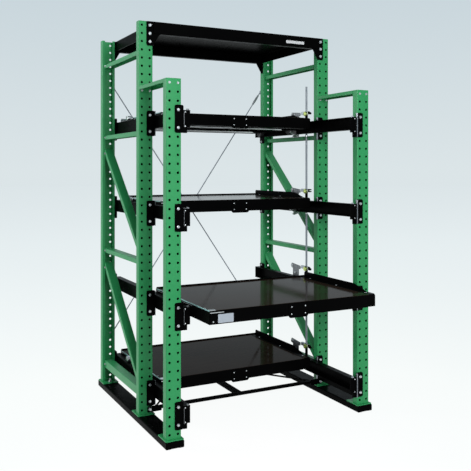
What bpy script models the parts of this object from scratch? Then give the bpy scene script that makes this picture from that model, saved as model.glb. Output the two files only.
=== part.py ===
"""Sliding storage rack: six perforated posts, a fixed top, four roll-out shelves and a lift interlock.

Metres, +Z up. The rack faces -Y, and the third shelf from the top stands drawn out. Inside the rack
frame, y is measured from the front posts' front faces and z from the feet of the posts. A level's
own heights are measured from the lower bolt of its rail brackets.
"""
import math

import bmesh
import bpy
from mathutils import Matrix, Vector

# Clearances, the overrun of cuts, and the turns between faces that count as flat or as sharp
GAP = 0.0003
OVERRUN = 0.002
FLAT_WITHIN_DEGREES = 0.1
SHARP_FROM_DEGREES = 35

# Posts with a column of holes at each side of the web and a foot plate: box sections at the front and
# in the middle, channels with folded lips at the rear
POST_SPAN = 1.300
POST_WEB = 0.090
POST_DEPTH = 0.050
POST_LIP = 0.018
POST_SHEET = 0.003
MIDDLE_POST_Y = 0.450
REAR_POST_Y = 1.260
HOLE_PITCH = 0.050
HOLE_GAUGE = 0.050
HOLE_SIZE = 0.011
FOOT_WIDTH = 0.110
FOOT_LENGTH = 0.123
FOOT_AHEAD = 0.018
FOOT_THICKNESS = 0.006

# Levels, counted from the top
LEVELS = 4
FIRST_LEVEL = 0.075
SHELF_SPACING = 0.550
LOW_POST_ABOVE_LEVEL = 0.275
HIGH_POST_ABOVE_LOW = 0.400
DRAWN_LEVEL = 3
TRAVEL = 0.707

# Base beams: channels laid on their open side, with capped ends and lips that rest on the floor
BASE_HEIGHT = 0.040
BASE_OVERHANG = 0.020
BASE_SHEET = 0.004
BASE_LIP = 0.030

# Side frames: channel braces between the middle and the rear posts
BRACE_WIDTH = 0.058
BRACE_DEPTH = 0.028
LOWEST_BRACE_DEPTH = 0.050
BRACE_SHEET = 0.003
BRACE_TOP_SHARES = (0.9292, 0.7208, 0.3904, 0.0625)
UPPER_DIAGONAL_GAPS = (0.034, 0.065)
LOWER_DIAGONAL_GAPS = (0.002, 0.071)

# Top ties from the front posts back to the middle posts
TIE_DEPTH = 0.022
TIE_END_DEPTH = 0.040
TIE_SHEET = 0.003
TIE_END_SHEET = 0.004

# Fixed top: two beams and a panel between them
BEAM_HEIGHT = 0.075
BEAM_SHEET = 0.004
BEAM_FLANGE = 0.030
BEAM_FACE_PROUD = 0.006
BEAM_FACE_INSET = 0.003
BEAM_END_CAP = 0.058
END_PLATE_HEIGHT = 0.150
END_PLATE_REACH = 0.042
END_PLATE_SHEET = 0.0057
TOP_GUSSET = 0.045
REAR_BEAM_INSET = 0.015
REAR_GUSSET_SHEET = 0.004
PANEL_SHEET = 0.004
PANEL_SIDE_DROP = 0.070
PANEL_SIDE_GAP = 0.002

# Rails: channels open towards the shelf, carried by plates on all three pairs of posts
RAIL_SETBACK = 0.008
RAIL_WIDTH = 0.044
RAIL_HEIGHT = 0.082
RAIL_RISE = 0.018
RAIL_SHEET = 0.004
RAIL_REAR_SETBACK = 0.010
BRACKET_SHEET = 0.006
BRACKET_DROP = 0.028
BRACKET_HEIGHT = 0.156
BRACKET_REACH = 0.040
BRACKET_CORNER = 0.010
REAR_BRACKET_LENGTH = 0.060
STOP_THICKNESS = 0.014
STOP_DROP = 0.016
STOP_TOP_INSET = 0.003
STOP_FOOT_INSET = 0.018

# Wheels and axles: one turning shaft with a wheel at each end
WHEEL_PLAY = 0.001
WHEEL_INSET = 0.002
WHEEL_SIDE_PLAY = 0.005
WHEEL_SIDES = 16
AXLE_RADIUS = 0.008
AXLE_PLAY = 0.0004
AXLE_END_PLAY = 0.001
AXLE_STOP_PLAY = 0.008
AXLE_BORE_SIDES = 8

# Shelves: a folded frame with a guard at its right side and a rim at its rear, and a deck plate
SHELF_SIDE_PLAY = 0.001
SHELF_BOTTOM = 0.047
SHELF_HEIGHT = 0.075
SHELF_SHEET = 0.003
SHELF_FRONT_AHEAD = 0.003
SHELF_REAR_SETBACK = 0.020
SHELF_FLANGE = 0.050
SHELF_FLANGE_SHEET = 0.008
SHELF_LIP = 0.030
SHELF_BEARER_WIDTH = 0.040
SHELF_BEARER_DEPTH = 0.030
SHELF_BEARER_SHARES = (0.30, 0.66)
GUARD_START = 0.092
GUARD_FULL = 0.226
GUARD_RISE = 0.033
REAR_RIM_RISE = 0.008
END_BLOCK_WIDTH = 0.065
END_BLOCK_SETBACK = 0.013
END_BLOCK_CUT = 0.010
FRONT_PLATE_WIDTH = 0.130
FRONT_PLATE_HEIGHT = 0.079
FRONT_PLATE_DROP = 0.011
FRONT_PLATE_SHEET = 0.004
FRONT_PLATE_CORNER = 0.016
DECK_SHEET = 0.004
DECK_SIDE_PLAY = 0.004

# Lift interlock at the right: a rod in sleeves on the rails, with an arm clamped above each
ROD_RADIUS = 0.006
ROD_SETBACK = 0.145
ROD_FROM_RAIL = 0.0115
ROD_ABOVE_TOP_LEVEL = 0.355
ROD_SIDES = 12
ROD_PLAY = 0.0005
SLEEVE_RADIUS = 0.010
SLEEVE_LUG_HEIGHT = 0.020
SLEEVE_LUG_WIDTH = 0.014
ARM_RISE = 0.157
ARM_HEIGHT = 0.022
ARM_AHEAD = 0.054
ARM_BEHIND = 0.062
ARM_INNER_WALL = 0.002
ARM_OUTER_WALL = 0.002
ARM_NOSE = 0.008
ARM_FORK_DEPTH = 0.016
ARM_FORK_SLOT = 0.006
KNOB_RADIUS = 0.014
KNOB_LENGTH = 0.012
KNOB_STEM_RADIUS = 0.006
KNOB_STEM_LENGTH = 0.004
KNOB_SIDES = 6
HOOK_SHEET = 0.005
HOOK_SETBACK = 0.233
HOOK_WIDTH = 0.076
HOOK_HEAD_WIDTH = 0.120
HOOK_HEAD_HEIGHT = 0.035
HOOK_HEAD_RISE = 0.150
HOOK_TAIL_DROP = 0.003
HOOK_TAIL_SHARE = 0.45

# Low ties: bars between the feet of the middle and of the rear posts, a stay and two struts
LOW_BAR_RISE = 0.020
LOW_BAR_HEIGHT = 0.016
LOW_BAR_DEPTH = 0.030
LOW_BAR_AHEAD = 0.008
LOW_GUSSET_LENGTH = 0.092
LOW_GUSSET_HEIGHT = 0.036
LOW_GUSSET_RISE = 0.008
LOW_GUSSET_SHEET = 0.0057
LOW_GUSSET_REACH = 0.035
LOW_STAY_WIDTH = 0.056
LOW_STAY_SHEET = 0.010
STRUT_WIDTH = 0.010
STRUT_INSET = 0.030

# Back rods: two crossed tie rods with turnbuckles, bolted behind the rear posts
BACK_ROD_RADIUS = 0.004
BACK_ROD_SIDES = 8
BACK_ROD_TOP_SHARES = (0.873, 0.877)
BACK_ROD_BOTTOM_SHARES = (0.127, 0.131)
BACK_LUG_WIDTH = 0.040
BACK_LUG_HEIGHT = 0.030
BACK_LUG_INSET = 0.005
TURNBUCKLE_HALF_THICKNESS = 0.0038
TURNBUCKLE_WIDTH = 0.020
TURNBUCKLE_LENGTH = 0.090
TURNBUCKLE_AT_SHARES = (0.965, 0.035)

# Places that follow from the sizes
POST_X = POST_SPAN / 2
POST_INNER_X = POST_X - POST_WEB / 2
TOP_LEVEL = FIRST_LEVEL + (LEVELS - 1) * SHELF_SPACING
LOW_POST = TOP_LEVEL + LOW_POST_ABOVE_LEVEL
HIGH_POST = LOW_POST + HIGH_POST_ABOVE_LOW
BRACE_START_Y = MIDDLE_POST_Y + POST_DEPTH + GAP
BRACE_END_Y = REAR_POST_Y - POST_DEPTH - GAP
BASE_START_Y = -BASE_OVERHANG
BASE_END_Y = REAR_POST_Y + BASE_OVERHANG
RAIL_OUTER_X = POST_INNER_X - RAIL_SETBACK
RAIL_INNER_X = RAIL_OUTER_X - RAIL_WIDTH
RAIL_START_Y = -GAP - BRACKET_SHEET
RAIL_END_Y = REAR_POST_Y - RAIL_REAR_SETBACK
RAIL_TOP = RAIL_RISE + RAIL_HEIGHT
WHEEL_RADIUS = (RAIL_HEIGHT - 2 * RAIL_SHEET - WHEEL_PLAY) / 2
AXLE_RISE = RAIL_RISE + RAIL_SHEET + GAP + WHEEL_RADIUS
STOP_BACK_Y = RAIL_START_Y + STOP_THICKNESS
FRONT_AXLE_Y = STOP_BACK_Y + AXLE_STOP_PLAY + WHEEL_RADIUS + TRAVEL
REAR_AXLE_Y = RAIL_END_Y - STOP_THICKNESS - AXLE_STOP_PLAY - WHEEL_RADIUS
SHELF_X = RAIL_INNER_X - SHELF_SIDE_PLAY
SHELF_FRONT_Y = MIDDLE_POST_Y - SHELF_FRONT_AHEAD
SHELF_REAR_Y = REAR_POST_Y - SHELF_REAR_SETBACK
SHELF_TOP = SHELF_BOTTOM + SHELF_HEIGHT
DECK_BOTTOM = SHELF_TOP - DECK_SHEET
BEARER_TOP = DECK_BOTTOM - GAP
SHELF_FOLDS = ((SHELF_BOTTOM, SHELF_BOTTOM + SHELF_SHEET), (BEARER_TOP - SHELF_SHEET, BEARER_TOP))
ROD_X = RAIL_OUTER_X + ROD_FROM_RAIL
ROD_Y = MIDDLE_POST_Y + ROD_SETBACK
RACK_FRONT_Y = SHELF_FRONT_Y - TRAVEL - FRONT_PLATE_SHEET

# Finishes: colour, roughness and metallic value
FINISHES = {
    "green_paint": ((0.035, 0.340, 0.120, 1), 0.42, 0),
    "black_paint": ((0.012, 0.012, 0.013, 1), 0.45, 0),
    "deck_paint": ((0.035, 0.030, 0.029, 1), 0.22, 0),
    "zinc": ((0.620, 0.640, 0.660, 1), 0.32, 1),
    "nylon": ((0.060, 0.060, 0.062, 1), 0.55, 0),
}


def level_height(level):
    """Height of a level's lower bracket bolt; level 1 is the top one."""
    return FIRST_LEVEL + (LEVELS - level) * SHELF_SPACING


def clear_scene():
    for thing in list(bpy.data.objects):
        bpy.data.objects.remove(thing, do_unlink=True)


def make_finish(name, kind):
    colour, roughness, metallic = FINISHES[kind]
    finish = bpy.data.materials.new(name)
    finish.use_nodes = True
    shader = finish.node_tree.nodes["Principled BSDF"]
    shader.inputs["Base Color"].default_value = colour
    shader.inputs["Roughness"].default_value = roughness
    shader.inputs["Metallic"].default_value = metallic
    return finish


def add_box(bm, x0, x1, y0, y1, z0, z1):
    """Adds a box between two corners."""
    corners = bmesh.ops.create_cube(bm, size=1)["verts"]
    for corner in corners:
        corner.co = (x1 if corner.co.x > 0 else x0, y1 if corner.co.y > 0 else y0,
                     z1 if corner.co.z > 0 else z0)


def box(x0, x1, y0, y1, z0, z1):
    bm = bmesh.new()
    add_box(bm, min(x0, x1), max(x0, x1), y0, y1, z0, z1)
    return bm


def point_along(axis, a, b, along):
    """A point from two coordinates of an outline and one along the axis that it is swept on."""
    if axis == "X":
        return along, a, b
    if axis == "Y":
        return a, along, b
    return a, b, along


def prism(outline, axis, start, end):
    """A flat outline swept along X (as y, z), along Y (as x, z) or along Z (as x, y)."""
    bm = bmesh.new()
    near = [bm.verts.new(point_along(axis, a, b, start)) for a, b in outline]
    far = [bm.verts.new(point_along(axis, a, b, end)) for a, b in outline]
    bm.faces.new(near)
    bm.faces.new(far)
    for i in range(len(outline)):
        bm.faces.new((near[i - 1], near[i], far[i], far[i - 1]))
    bmesh.ops.recalc_face_normals(bm, faces=bm.faces[:])
    return bm


def cylinder(start, end, radius, sides):
    """A rod between two points."""
    start, end = Vector(start), Vector(end)
    turn = (end - start).to_track_quat("Z", "Y").to_matrix().to_4x4()
    place = Matrix.Translation((start + end) / 2) @ turn
    bm = bmesh.new()
    bmesh.ops.create_cone(bm, cap_ends=True, segments=sides, radius1=radius, radius2=radius,
                          depth=(end - start).length, matrix=place)
    return bm


def turned_along_x(profile, sides):
    """A solid of revolution about X; the profile is a list of (x, radius), ends closed by discs."""
    bm = bmesh.new()
    rings = []
    for x, radius in profile:
        turns = [2 * math.pi * i / sides for i in range(sides)]
        rings.append([bm.verts.new((x, radius * math.cos(t), radius * math.sin(t))) for t in turns])
    for ring, after in zip(rings, rings[1:]):
        for i in range(sides):
            bm.faces.new((ring[i - 1], ring[i], after[i], after[i - 1]))
    bm.faces.new(rings[0])
    bm.faces.new(rings[-1])
    bmesh.ops.recalc_face_normals(bm, faces=bm.faces[:])
    return bm


def channel_outline(width, depth, sheet, lip):
    """Outline of a lipped channel: web on the first axis, open towards the second."""
    half = width / 2
    right = [(half, 0), (half, depth), (half - lip, depth), (half - lip, depth - sheet),
             (half - sheet, depth - sheet), (half - sheet, sheet)]
    return right + [(-a, b) for a, b in reversed(right)]


def plain_channel_outline(width, depth, sheet, slant=1):
    """Outline of a channel without lips, web on top and open downwards; slant stretches it."""
    half = width / 2
    low, web = -depth * slant, -sheet * slant
    right = [(half, 0), (half, low), (half - sheet, low), (half - sheet, web)]
    return right + [(-a, b) for a, b in reversed(right)]


def plate_outline(a0, a1, b0, b1, corner):
    """A rectangle with cut corners."""
    return [(a0 + corner, b0), (a1 - corner, b0), (a1, b0 + corner), (a1, b1 - corner),
            (a1 - corner, b1), (a0 + corner, b1), (a0, b1 - corner), (a0, b0 + corner)]


def temporary(bm):
    mesh = bpy.data.meshes.new("temporary")
    bm.to_mesh(mesh)
    bm.free()
    thing = bpy.data.objects.new("temporary", mesh)
    bpy.context.scene.collection.objects.link(thing)
    return thing


def fused(solids, cuts=()):
    """One mesh: the union of the solids, less the cuts."""
    body = temporary(solids[0])
    tools = []
    for operation, group in (("UNION", solids[1:]), ("DIFFERENCE", cuts)):
        for bm in group:
            tool = temporary(bm)
            step = body.modifiers.new("cut", "BOOLEAN")
            step.operation = operation
            step.solver = "EXACT"
            step.object = tool
            tools.append(tool)
    bpy.context.view_layer.update()
    evaluated = body.evaluated_get(bpy.context.evaluated_depsgraph_get())
    bm = bmesh.new()
    bm.from_mesh(evaluated.to_mesh())
    evaluated.to_mesh_clear()
    for thing in [body] + tools:
        bpy.data.objects.remove(thing, do_unlink=True)
    flat = math.radians(FLAT_WITHIN_DEGREES)
    bmesh.ops.dissolve_limit(bm, angle_limit=flat, verts=bm.verts[:], edges=bm.edges[:])
    return bm


def mesh_of(name, bm, smooth=False):
    mesh = bpy.data.meshes.new(name)
    bm.to_mesh(mesh)
    bm.free()
    mesh.materials.append(None)
    if smooth:
        mesh.shade_smooth()
        mesh.set_sharp_from_angle(angle=math.radians(SHARP_FROM_DEGREES))
    return mesh


def place(name, mesh, finish, parent, location=(0, 0, 0), turn=0):
    """A named piece with its own place under its parent, turned about Z."""
    thing = bpy.data.objects.new(name, mesh)
    bpy.context.scene.collection.objects.link(thing)
    thing.parent = parent
    thing.location = location
    thing.rotation_euler = (0, 0, turn)
    thing.material_slots[0].link = "OBJECT"
    thing.material_slots[0].material = make_finish(name, finish)
    return thing


def make_empty(name, parent, location):
    thing = bpy.data.objects.new(name, None)
    bpy.context.scene.collection.objects.link(thing)
    thing.parent = parent
    thing.location = location
    return thing


def post_mesh(name, height, boxed):
    """A post with its foot plate: web at the front with two columns of holes, boxed or open behind."""
    half = POST_WEB / 2
    cuts = []
    if boxed:
        shaft = box(-half, half, 0, POST_DEPTH, -FOOT_THICKNESS, height)
        half -= POST_SHEET
        cuts.append(box(-half, half, POST_SHEET, POST_DEPTH - POST_SHEET, 0, height + OVERRUN))
    else:
        outline = channel_outline(POST_WEB, POST_DEPTH, POST_SHEET, POST_LIP)
        shaft = prism(outline, "Z", -FOOT_THICKNESS, height)
    half, back = FOOT_WIDTH / 2, FOOT_LENGTH - FOOT_AHEAD
    foot = box(-half, half, -FOOT_AHEAD, back, -FOOT_THICKNESS, 0)
    holes = bmesh.new()
    half = HOLE_SIZE / 2
    for row in range(int(round(height / HOLE_PITCH))):
        z = HOLE_PITCH / 2 + row * HOLE_PITCH
        for x in (-HOLE_GAUGE / 2, HOLE_GAUGE / 2):
            add_box(holes, x - half, x + half, -OVERRUN, POST_SHEET + OVERRUN, z - half, z + half)
    return mesh_of(name, fused([shaft, foot], cuts + [holes]))


def make_posts(root, finish):
    front = post_mesh("front_post", LOW_POST, True)
    middle = post_mesh("middle_post", HIGH_POST, True)
    rear = post_mesh("rear_post", HIGH_POST, False)
    for side, x in (("left", -POST_X), ("right", POST_X)):
        place("post_front_" + side, front, finish, root, (x, 0, 0))
        place("post_middle_" + side, middle, finish, root, (x, MIDDLE_POST_Y, 0))
        place("post_rear_" + side, rear, finish, root, (x, REAR_POST_Y, 0), math.pi)


def make_bases(root, finish):
    profile = channel_outline(FOOT_WIDTH, BASE_HEIGHT, BASE_SHEET, BASE_LIP)
    profile = [(a, -b) for a, b in profile]
    half = FOOT_WIDTH / 2
    beam = prism(profile, "Y", BASE_START_Y, BASE_END_Y)
    caps = [box(-half, half, BASE_START_Y, BASE_START_Y + BASE_SHEET, -BASE_HEIGHT, 0),
            box(-half, half, BASE_END_Y - BASE_SHEET, BASE_END_Y, -BASE_HEIGHT, 0)]
    mesh = mesh_of("base_beam", fused([beam] + caps))
    for side, x in (("left", -POST_X), ("right", POST_X)):
        place("base_" + side, mesh, finish, root, (x, 0, -FOOT_THICKNESS - GAP))


def brace_mesh(name, start_top, end_top, depth=BRACE_DEPTH):
    """A channel brace from the middle post to the rear post, its ends cut upright."""
    run = BRACE_END_Y - BRACE_START_Y
    slant = math.hypot(run, end_top - start_top) / run
    profile = plain_channel_outline(BRACE_WIDTH, depth, BRACE_SHEET, slant)
    bm = prism(profile, "Y", BRACE_START_Y, BRACE_END_Y)
    for corner in bm.verts:
        share = (corner.co.y - BRACE_START_Y) / run
        corner.co.z += start_top + share * (end_top - start_top)
    return mesh_of(name, bm)


def diagonal_tops(under_top, over_top, gaps):
    """Top edges at both ends of a diagonal that rises rearwards between two level braces."""
    low_gap, high_gap = gaps
    run = BRACE_END_Y - BRACE_START_Y
    end_top = over_top - BRACE_DEPTH - high_gap
    slant = math.hypot(run, end_top - under_top) / run
    return under_top + low_gap + BRACE_DEPTH * slant, end_top


def make_braces(root, finish):
    tops = [share * HIGH_POST for share in BRACE_TOP_SHARES]
    depths = [BRACE_DEPTH] * (len(tops) - 1) + [LOWEST_BRACE_DEPTH]
    names = ["brace_level_%d" % (i + 1) for i in range(len(tops))]
    meshes = [(name, brace_mesh(name, top, top, depth))
              for name, top, depth in zip(names, tops, depths)]
    upper = diagonal_tops(tops[2], tops[1], UPPER_DIAGONAL_GAPS)
    lower = diagonal_tops(tops[3], tops[2], LOWER_DIAGONAL_GAPS)
    meshes.append(("brace_diagonal_upper", brace_mesh("brace_diagonal_upper", *upper)))
    meshes.append(("brace_diagonal_lower", brace_mesh("brace_diagonal_lower", *lower)))
    for name, mesh in meshes:
        place(name + "_left", mesh, finish, root, (-POST_X, 0, 0))
        place(name + "_right", mesh, finish, root, (POST_X, 0, 0))


def make_top_ties(root, finish):
    """Channels that join the tops of the front posts to the middle posts."""
    start_y = POST_DEPTH + GAP
    end_y = MIDDLE_POST_Y - GAP
    half = POST_WEB / 2
    bar = prism(plain_channel_outline(POST_WEB, TIE_DEPTH, TIE_SHEET), "Y", start_y, end_y)
    ends = [box(-half, half, start_y, start_y + TIE_END_SHEET, -TIE_END_DEPTH, 0),
            box(-half, half, end_y - TIE_END_SHEET, end_y, -TIE_END_DEPTH, 0)]
    mesh = mesh_of("top_tie", fused([bar] + ends))
    for side, x in (("left", -POST_X), ("right", POST_X)):
        place("top_tie_" + side, mesh, finish, root, (x, 0, LOW_POST))


def make_top(root, finish):
    """Front beam on the faces of the middle posts, rear beam between the rear posts, and the panel."""
    low = -BEAM_HEIGHT
    inner = POST_INNER_X
    outer = inner + END_PLATE_REACH
    within = inner - BEAM_FACE_INSET
    back = MIDDLE_POST_Y - GAP
    front = back - END_PLATE_SHEET
    foot = -END_PLATE_HEIGHT
    right_side = [(outer, 0), (outer, foot), (inner, foot), (inner - TOP_GUSSET, low)]
    outline = right_side + [(-a, b) for a, b in reversed(right_side)]
    plate = prism(outline, "Y", front, back)
    face = box(-within, within - BEAM_END_CAP, front - BEAM_FACE_PROUD, front + BEAM_SHEET, low, 0)
    flange_end = MIDDLE_POST_Y + BEAM_FLANGE
    flanges = [box(-within, within, front, flange_end, z, z + BEAM_SHEET) for z in (low, -BEAM_SHEET)]
    mesh = mesh_of("top_front_beam", fused([plate, face] + flanges))
    place("top_front_beam", mesh, finish, root, (0, 0, HIGH_POST))

    reach = inner - GAP
    wall_y = REAR_POST_Y - REAR_BEAM_INSET
    flange_start = wall_y - BEAM_FLANGE
    right_side = [(reach, 0), (reach, foot), (reach - TOP_GUSSET, low)]
    outline = right_side + [(-a, b) for a, b in reversed(right_side)]
    wall = prism(outline, "Y", wall_y - BEAM_SHEET, wall_y)
    flanges = [box(-reach, reach, flange_start, wall_y, z, z + BEAM_SHEET) for z in (low, -BEAM_SHEET)]
    ends = [box(side * reach, side * (reach - REAR_GUSSET_SHEET), flange_start, wall_y, foot, 0)
            for side in (-1, 1)]
    mesh = mesh_of("top_rear_beam", fused([wall] + flanges + ends))
    place("top_rear_beam", mesh, finish, root, (0, 0, HIGH_POST))

    width = 2 * (within - PANEL_SIDE_GAP)
    profile = plain_channel_outline(width, PANEL_SIDE_DROP, PANEL_SHEET)
    mesh = mesh_of("top_panel", prism(profile, "Y", flange_end + GAP, flange_start - GAP))
    place("top_panel", mesh, finish, root, (0, 0, HIGH_POST))


def rail_solids(side):
    """One rail at the side given by its sign: channel, two end stops and three bracket plates."""
    outer, inner = side * RAIL_OUTER_X, side * RAIL_INNER_X
    web = side * (RAIL_OUTER_X - RAIL_SHEET)
    low, high = -BRACKET_DROP, BRACKET_HEIGHT - BRACKET_DROP
    solids = [box(web, outer, RAIL_START_Y, RAIL_END_Y, RAIL_RISE, RAIL_TOP)]
    for z in (RAIL_RISE, RAIL_TOP - RAIL_SHEET):
        solids.append(box(inner, outer, RAIL_START_Y, RAIL_END_Y, z, z + RAIL_SHEET))

    stop_low, stop_high = RAIL_RISE - STOP_DROP, RAIL_TOP - STOP_TOP_INSET
    foot = inner + side * STOP_FOOT_INSET
    within = outer - side * RAIL_SHEET / 2
    outline = [(inner, stop_high), (inner, stop_low), (foot, stop_low), (foot, low), (web, low),
               (web, stop_low), (within, stop_low), (within, stop_high)]
    solids.append(prism(outline, "Y", RAIL_START_Y, STOP_BACK_Y))
    solids.append(box(inner, web + side * RAIL_SHEET / 2, RAIL_END_Y - STOP_THICKNESS, RAIL_END_Y,
                      RAIL_RISE + RAIL_SHEET / 2, RAIL_TOP - RAIL_SHEET / 2))

    reach = side * (POST_INNER_X + BRACKET_REACH)
    for back in (0, MIDDLE_POST_Y):
        a0, a1 = min(web, reach), max(web, reach)
        solids.append(prism(plate_outline(a0, a1, low, high, BRACKET_CORNER), "Y",
                            back - GAP - BRACKET_SHEET, back - GAP))
    start = RAIL_END_Y - REAR_BRACKET_LENGTH
    outline = plate_outline(start, RAIL_END_Y, low, high, BRACKET_CORNER)
    bracket_x = sorted((within, side * (POST_INNER_X - GAP)))
    solids.append(prism(outline, "X", *bracket_x))
    return solids


def interlock_rail_solids():
    """What the right rails carry besides: the rod's sleeve on its lug, and the hook plate."""
    sleeve_top = ARM_RISE - GAP
    lug_low = RAIL_TOP - SLEEVE_LUG_HEIGHT
    half = SLEEVE_LUG_WIDTH / 2
    sleeve = cylinder((ROD_X, ROD_Y, lug_low), (ROD_X, ROD_Y, sleeve_top), SLEEVE_RADIUS, ROD_SIDES)
    lug = box(RAIL_OUTER_X - RAIL_SHEET / 2, ROD_X, ROD_Y - half, ROD_Y + half, lug_low, RAIL_TOP)
    middle = MIDDLE_POST_Y + HOOK_SETBACK + HOOK_WIDTH / 2
    front, back = middle - HOOK_WIDTH / 2, middle + HOOK_WIDTH / 2
    head_front, head_back = middle - HOOK_HEAD_WIDTH / 2, middle + HOOK_HEAD_WIDTH / 2
    head_top = HOOK_HEAD_RISE + HOOK_HEAD_HEIGHT
    head_low = HOOK_HEAD_RISE
    outline = [(front, -HOOK_TAIL_DROP), (front + HOOK_WIDTH * HOOK_TAIL_SHARE, -HOOK_TAIL_DROP),
               (back, RAIL_RISE), (back, head_low), (head_back, head_low), (head_back, head_top),
               (head_front, head_top), (head_front, head_low), (front, head_low)]
    plate = prism(outline, "X", RAIL_OUTER_X - RAIL_SHEET / 2, RAIL_OUTER_X + HOOK_SHEET)
    return [sleeve, lug, plate]


def rail_skirt():
    """The lowest right rail's web, carried down between the front and the middle bracket."""
    return box(RAIL_OUTER_X - RAIL_SHEET, RAIL_OUTER_X, RAIL_START_Y, MIDDLE_POST_Y - GAP,
               -BRACKET_DROP, RAIL_RISE + RAIL_SHEET)


def right_rail_mesh(name, extra):
    """A right rail with its sleeve, bored for the rod, and with any further solids."""
    bore_end = (ROD_X, ROD_Y, ARM_RISE + OVERRUN)
    bore = cylinder((ROD_X, ROD_Y, RAIL_RISE), bore_end, ROD_RADIUS + ROD_PLAY, ROD_SIDES)
    return mesh_of(name, fused(rail_solids(1) + extra + interlock_rail_solids(), [bore]))


def make_rails(root, finish):
    left = mesh_of("rail_left", fused(rail_solids(-1)))
    right = right_rail_mesh("rail_right", [])
    lowest = right_rail_mesh("rail_lowest_right", [rail_skirt()])
    for level in range(1, LEVELS + 1):
        z = level_height(level)
        place("rail_%d_left" % level, left, finish, root, (0, 0, z))
        place("rail_%d_right" % level, lowest if level == LEVELS else right, finish, root,
              (0, 0, z))


def make_low_ties(root, finish):
    """Bars between the feet, a stay down the middle and two struts out to the front corners."""
    low, high = LOW_BAR_RISE, LOW_BAR_RISE + LOW_BAR_HEIGHT
    reach = POST_INNER_X - GAP
    front_start = MIDDLE_POST_Y - LOW_BAR_AHEAD
    front_end = front_start + LOW_BAR_DEPTH
    bar = box(-reach, reach, front_start, front_end, low, high)
    solids = [bar]
    face = MIDDLE_POST_Y - GAP
    for side in (-1, 1):
        outer = side * (POST_INNER_X + LOW_GUSSET_REACH)
        inner = outer - side * LOW_GUSSET_LENGTH
        solids.append(box(inner, outer, face - LOW_GUSSET_SHEET, face, LOW_GUSSET_RISE,
                          LOW_GUSSET_RISE + LOW_GUSSET_HEIGHT))
    rear_end = REAR_POST_Y - REAR_BEAM_INSET
    rear_start = rear_end - LOW_BAR_DEPTH
    half = LOW_STAY_WIDTH / 2
    stay_top = low + LOW_STAY_SHEET
    solids.append(box(-half, half, front_end - OVERRUN, rear_start - GAP, low, stay_top))
    place("low_tie_front", mesh_of("low_tie_front", fused(solids)), finish, root)

    solids = [box(-reach, reach, rear_start, rear_end, low, high)]
    for side in (-1, 1):
        start = Vector((side * (half + STRUT_WIDTH), rear_start + OVERRUN, low))
        end = Vector((side * (reach - STRUT_INSET), front_end + GAP, low))
        across = side * STRUT_WIDTH
        outline = [(start.x, start.y), (start.x + across, start.y),
                   (end.x + across, end.y), (end.x, end.y)]
        solids.append(prism(outline, "Z", low, stay_top))
    place("low_tie_rear", mesh_of("low_tie_rear", fused(solids)), finish, root)


def back_rod_mesh(name, near_y, top, bottom, turnbuckle_at):
    """A tie rod that falls from the left post to the right one, with its lugs and turnbuckle."""
    face_y = GAP
    inner = POST_INNER_X + BACK_LUG_INSET
    rod_y = near_y + BACK_ROD_RADIUS
    start, end = Vector((-inner, rod_y, top)), Vector((inner, rod_y, bottom))
    solids = [cylinder(start, end, BACK_ROD_RADIUS, BACK_ROD_SIDES)]
    half = BACK_LUG_HEIGHT / 2
    for side, z in ((-1, top), (1, bottom)):
        solids.append(box(side * (inner - BACK_LUG_INSET), side * (inner + BACK_LUG_WIDTH), face_y,
                          rod_y + BACK_ROD_RADIUS / 2, z - half, z + half))
    middle = start.lerp(end, turnbuckle_at)
    along = (end - start).normalized()
    body = cylinder(middle - along * TURNBUCKLE_LENGTH / 2, middle + along * TURNBUCKLE_LENGTH / 2,
                    TURNBUCKLE_WIDTH / 2, KNOB_SIDES)
    squash = TURNBUCKLE_HALF_THICKNESS / (TURNBUCKLE_WIDTH / 2)
    for corner in body.verts:
        corner.co.y = rod_y + (corner.co.y - rod_y) * squash
    solids.append(body)
    return mesh_of(name, fused(solids))


def make_back_rods(root, finish):
    """Two crossed rods behind the rear posts, the second one behind the first."""
    behind = GAP + 2 * BACK_ROD_RADIUS + GAP
    tops = [share * HIGH_POST for share in BACK_ROD_TOP_SHARES]
    bottoms = [share * HIGH_POST for share in BACK_ROD_BOTTOM_SHARES]
    first_at, second_at = TURNBUCKLE_AT_SHARES
    first = back_rod_mesh("back_rod_first", GAP, tops[0], bottoms[0], first_at)
    second = back_rod_mesh("back_rod_second", behind, tops[1], bottoms[1], second_at)
    for corner in second.vertices:
        corner.co.x = -corner.co.x
    second.flip_normals()
    place("back_rod_first", first, finish, root, (0, REAR_POST_Y, 0))
    place("back_rod_second", second, finish, root, (0, REAR_POST_Y, 0))


def left_side():
    """Low side wall, and the flanges folded inwards at its bottom and under the deck."""
    inner, wall = SHELF_FLANGE - SHELF_X, SHELF_SHEET - SHELF_X
    solids = [box(-SHELF_X, wall, SHELF_FRONT_Y, SHELF_REAR_Y, SHELF_BOTTOM, SHELF_TOP)]
    for low, high in SHELF_FOLDS:
        solids.append(box(-SHELF_X, inner, SHELF_FRONT_Y, SHELF_REAR_Y, low, high))
    return solids


def right_side(front):
    """Side wall with its guard, and the flanges folded inwards beside the deck and at the bottom."""
    inner, wall = SHELF_X - SHELF_FLANGE, SHELF_X - SHELF_SHEET
    guard_top = SHELF_TOP + GUARD_RISE
    outline = [(front, SHELF_BOTTOM), (SHELF_REAR_Y, SHELF_BOTTOM), (SHELF_REAR_Y, guard_top),
               (SHELF_FRONT_Y + GUARD_FULL, guard_top), (SHELF_FRONT_Y + GUARD_START, SHELF_TOP),
               (front, SHELF_TOP)]
    solids = [prism(outline, "X", wall, SHELF_X)]
    folds = ((SHELF_BOTTOM, SHELF_BOTTOM + SHELF_SHEET), (SHELF_TOP - SHELF_FLANGE_SHEET, SHELF_TOP))
    for low, high in folds:
        solids.append(box(inner, SHELF_X, front, SHELF_REAR_Y, low, high))
    return solids


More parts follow.
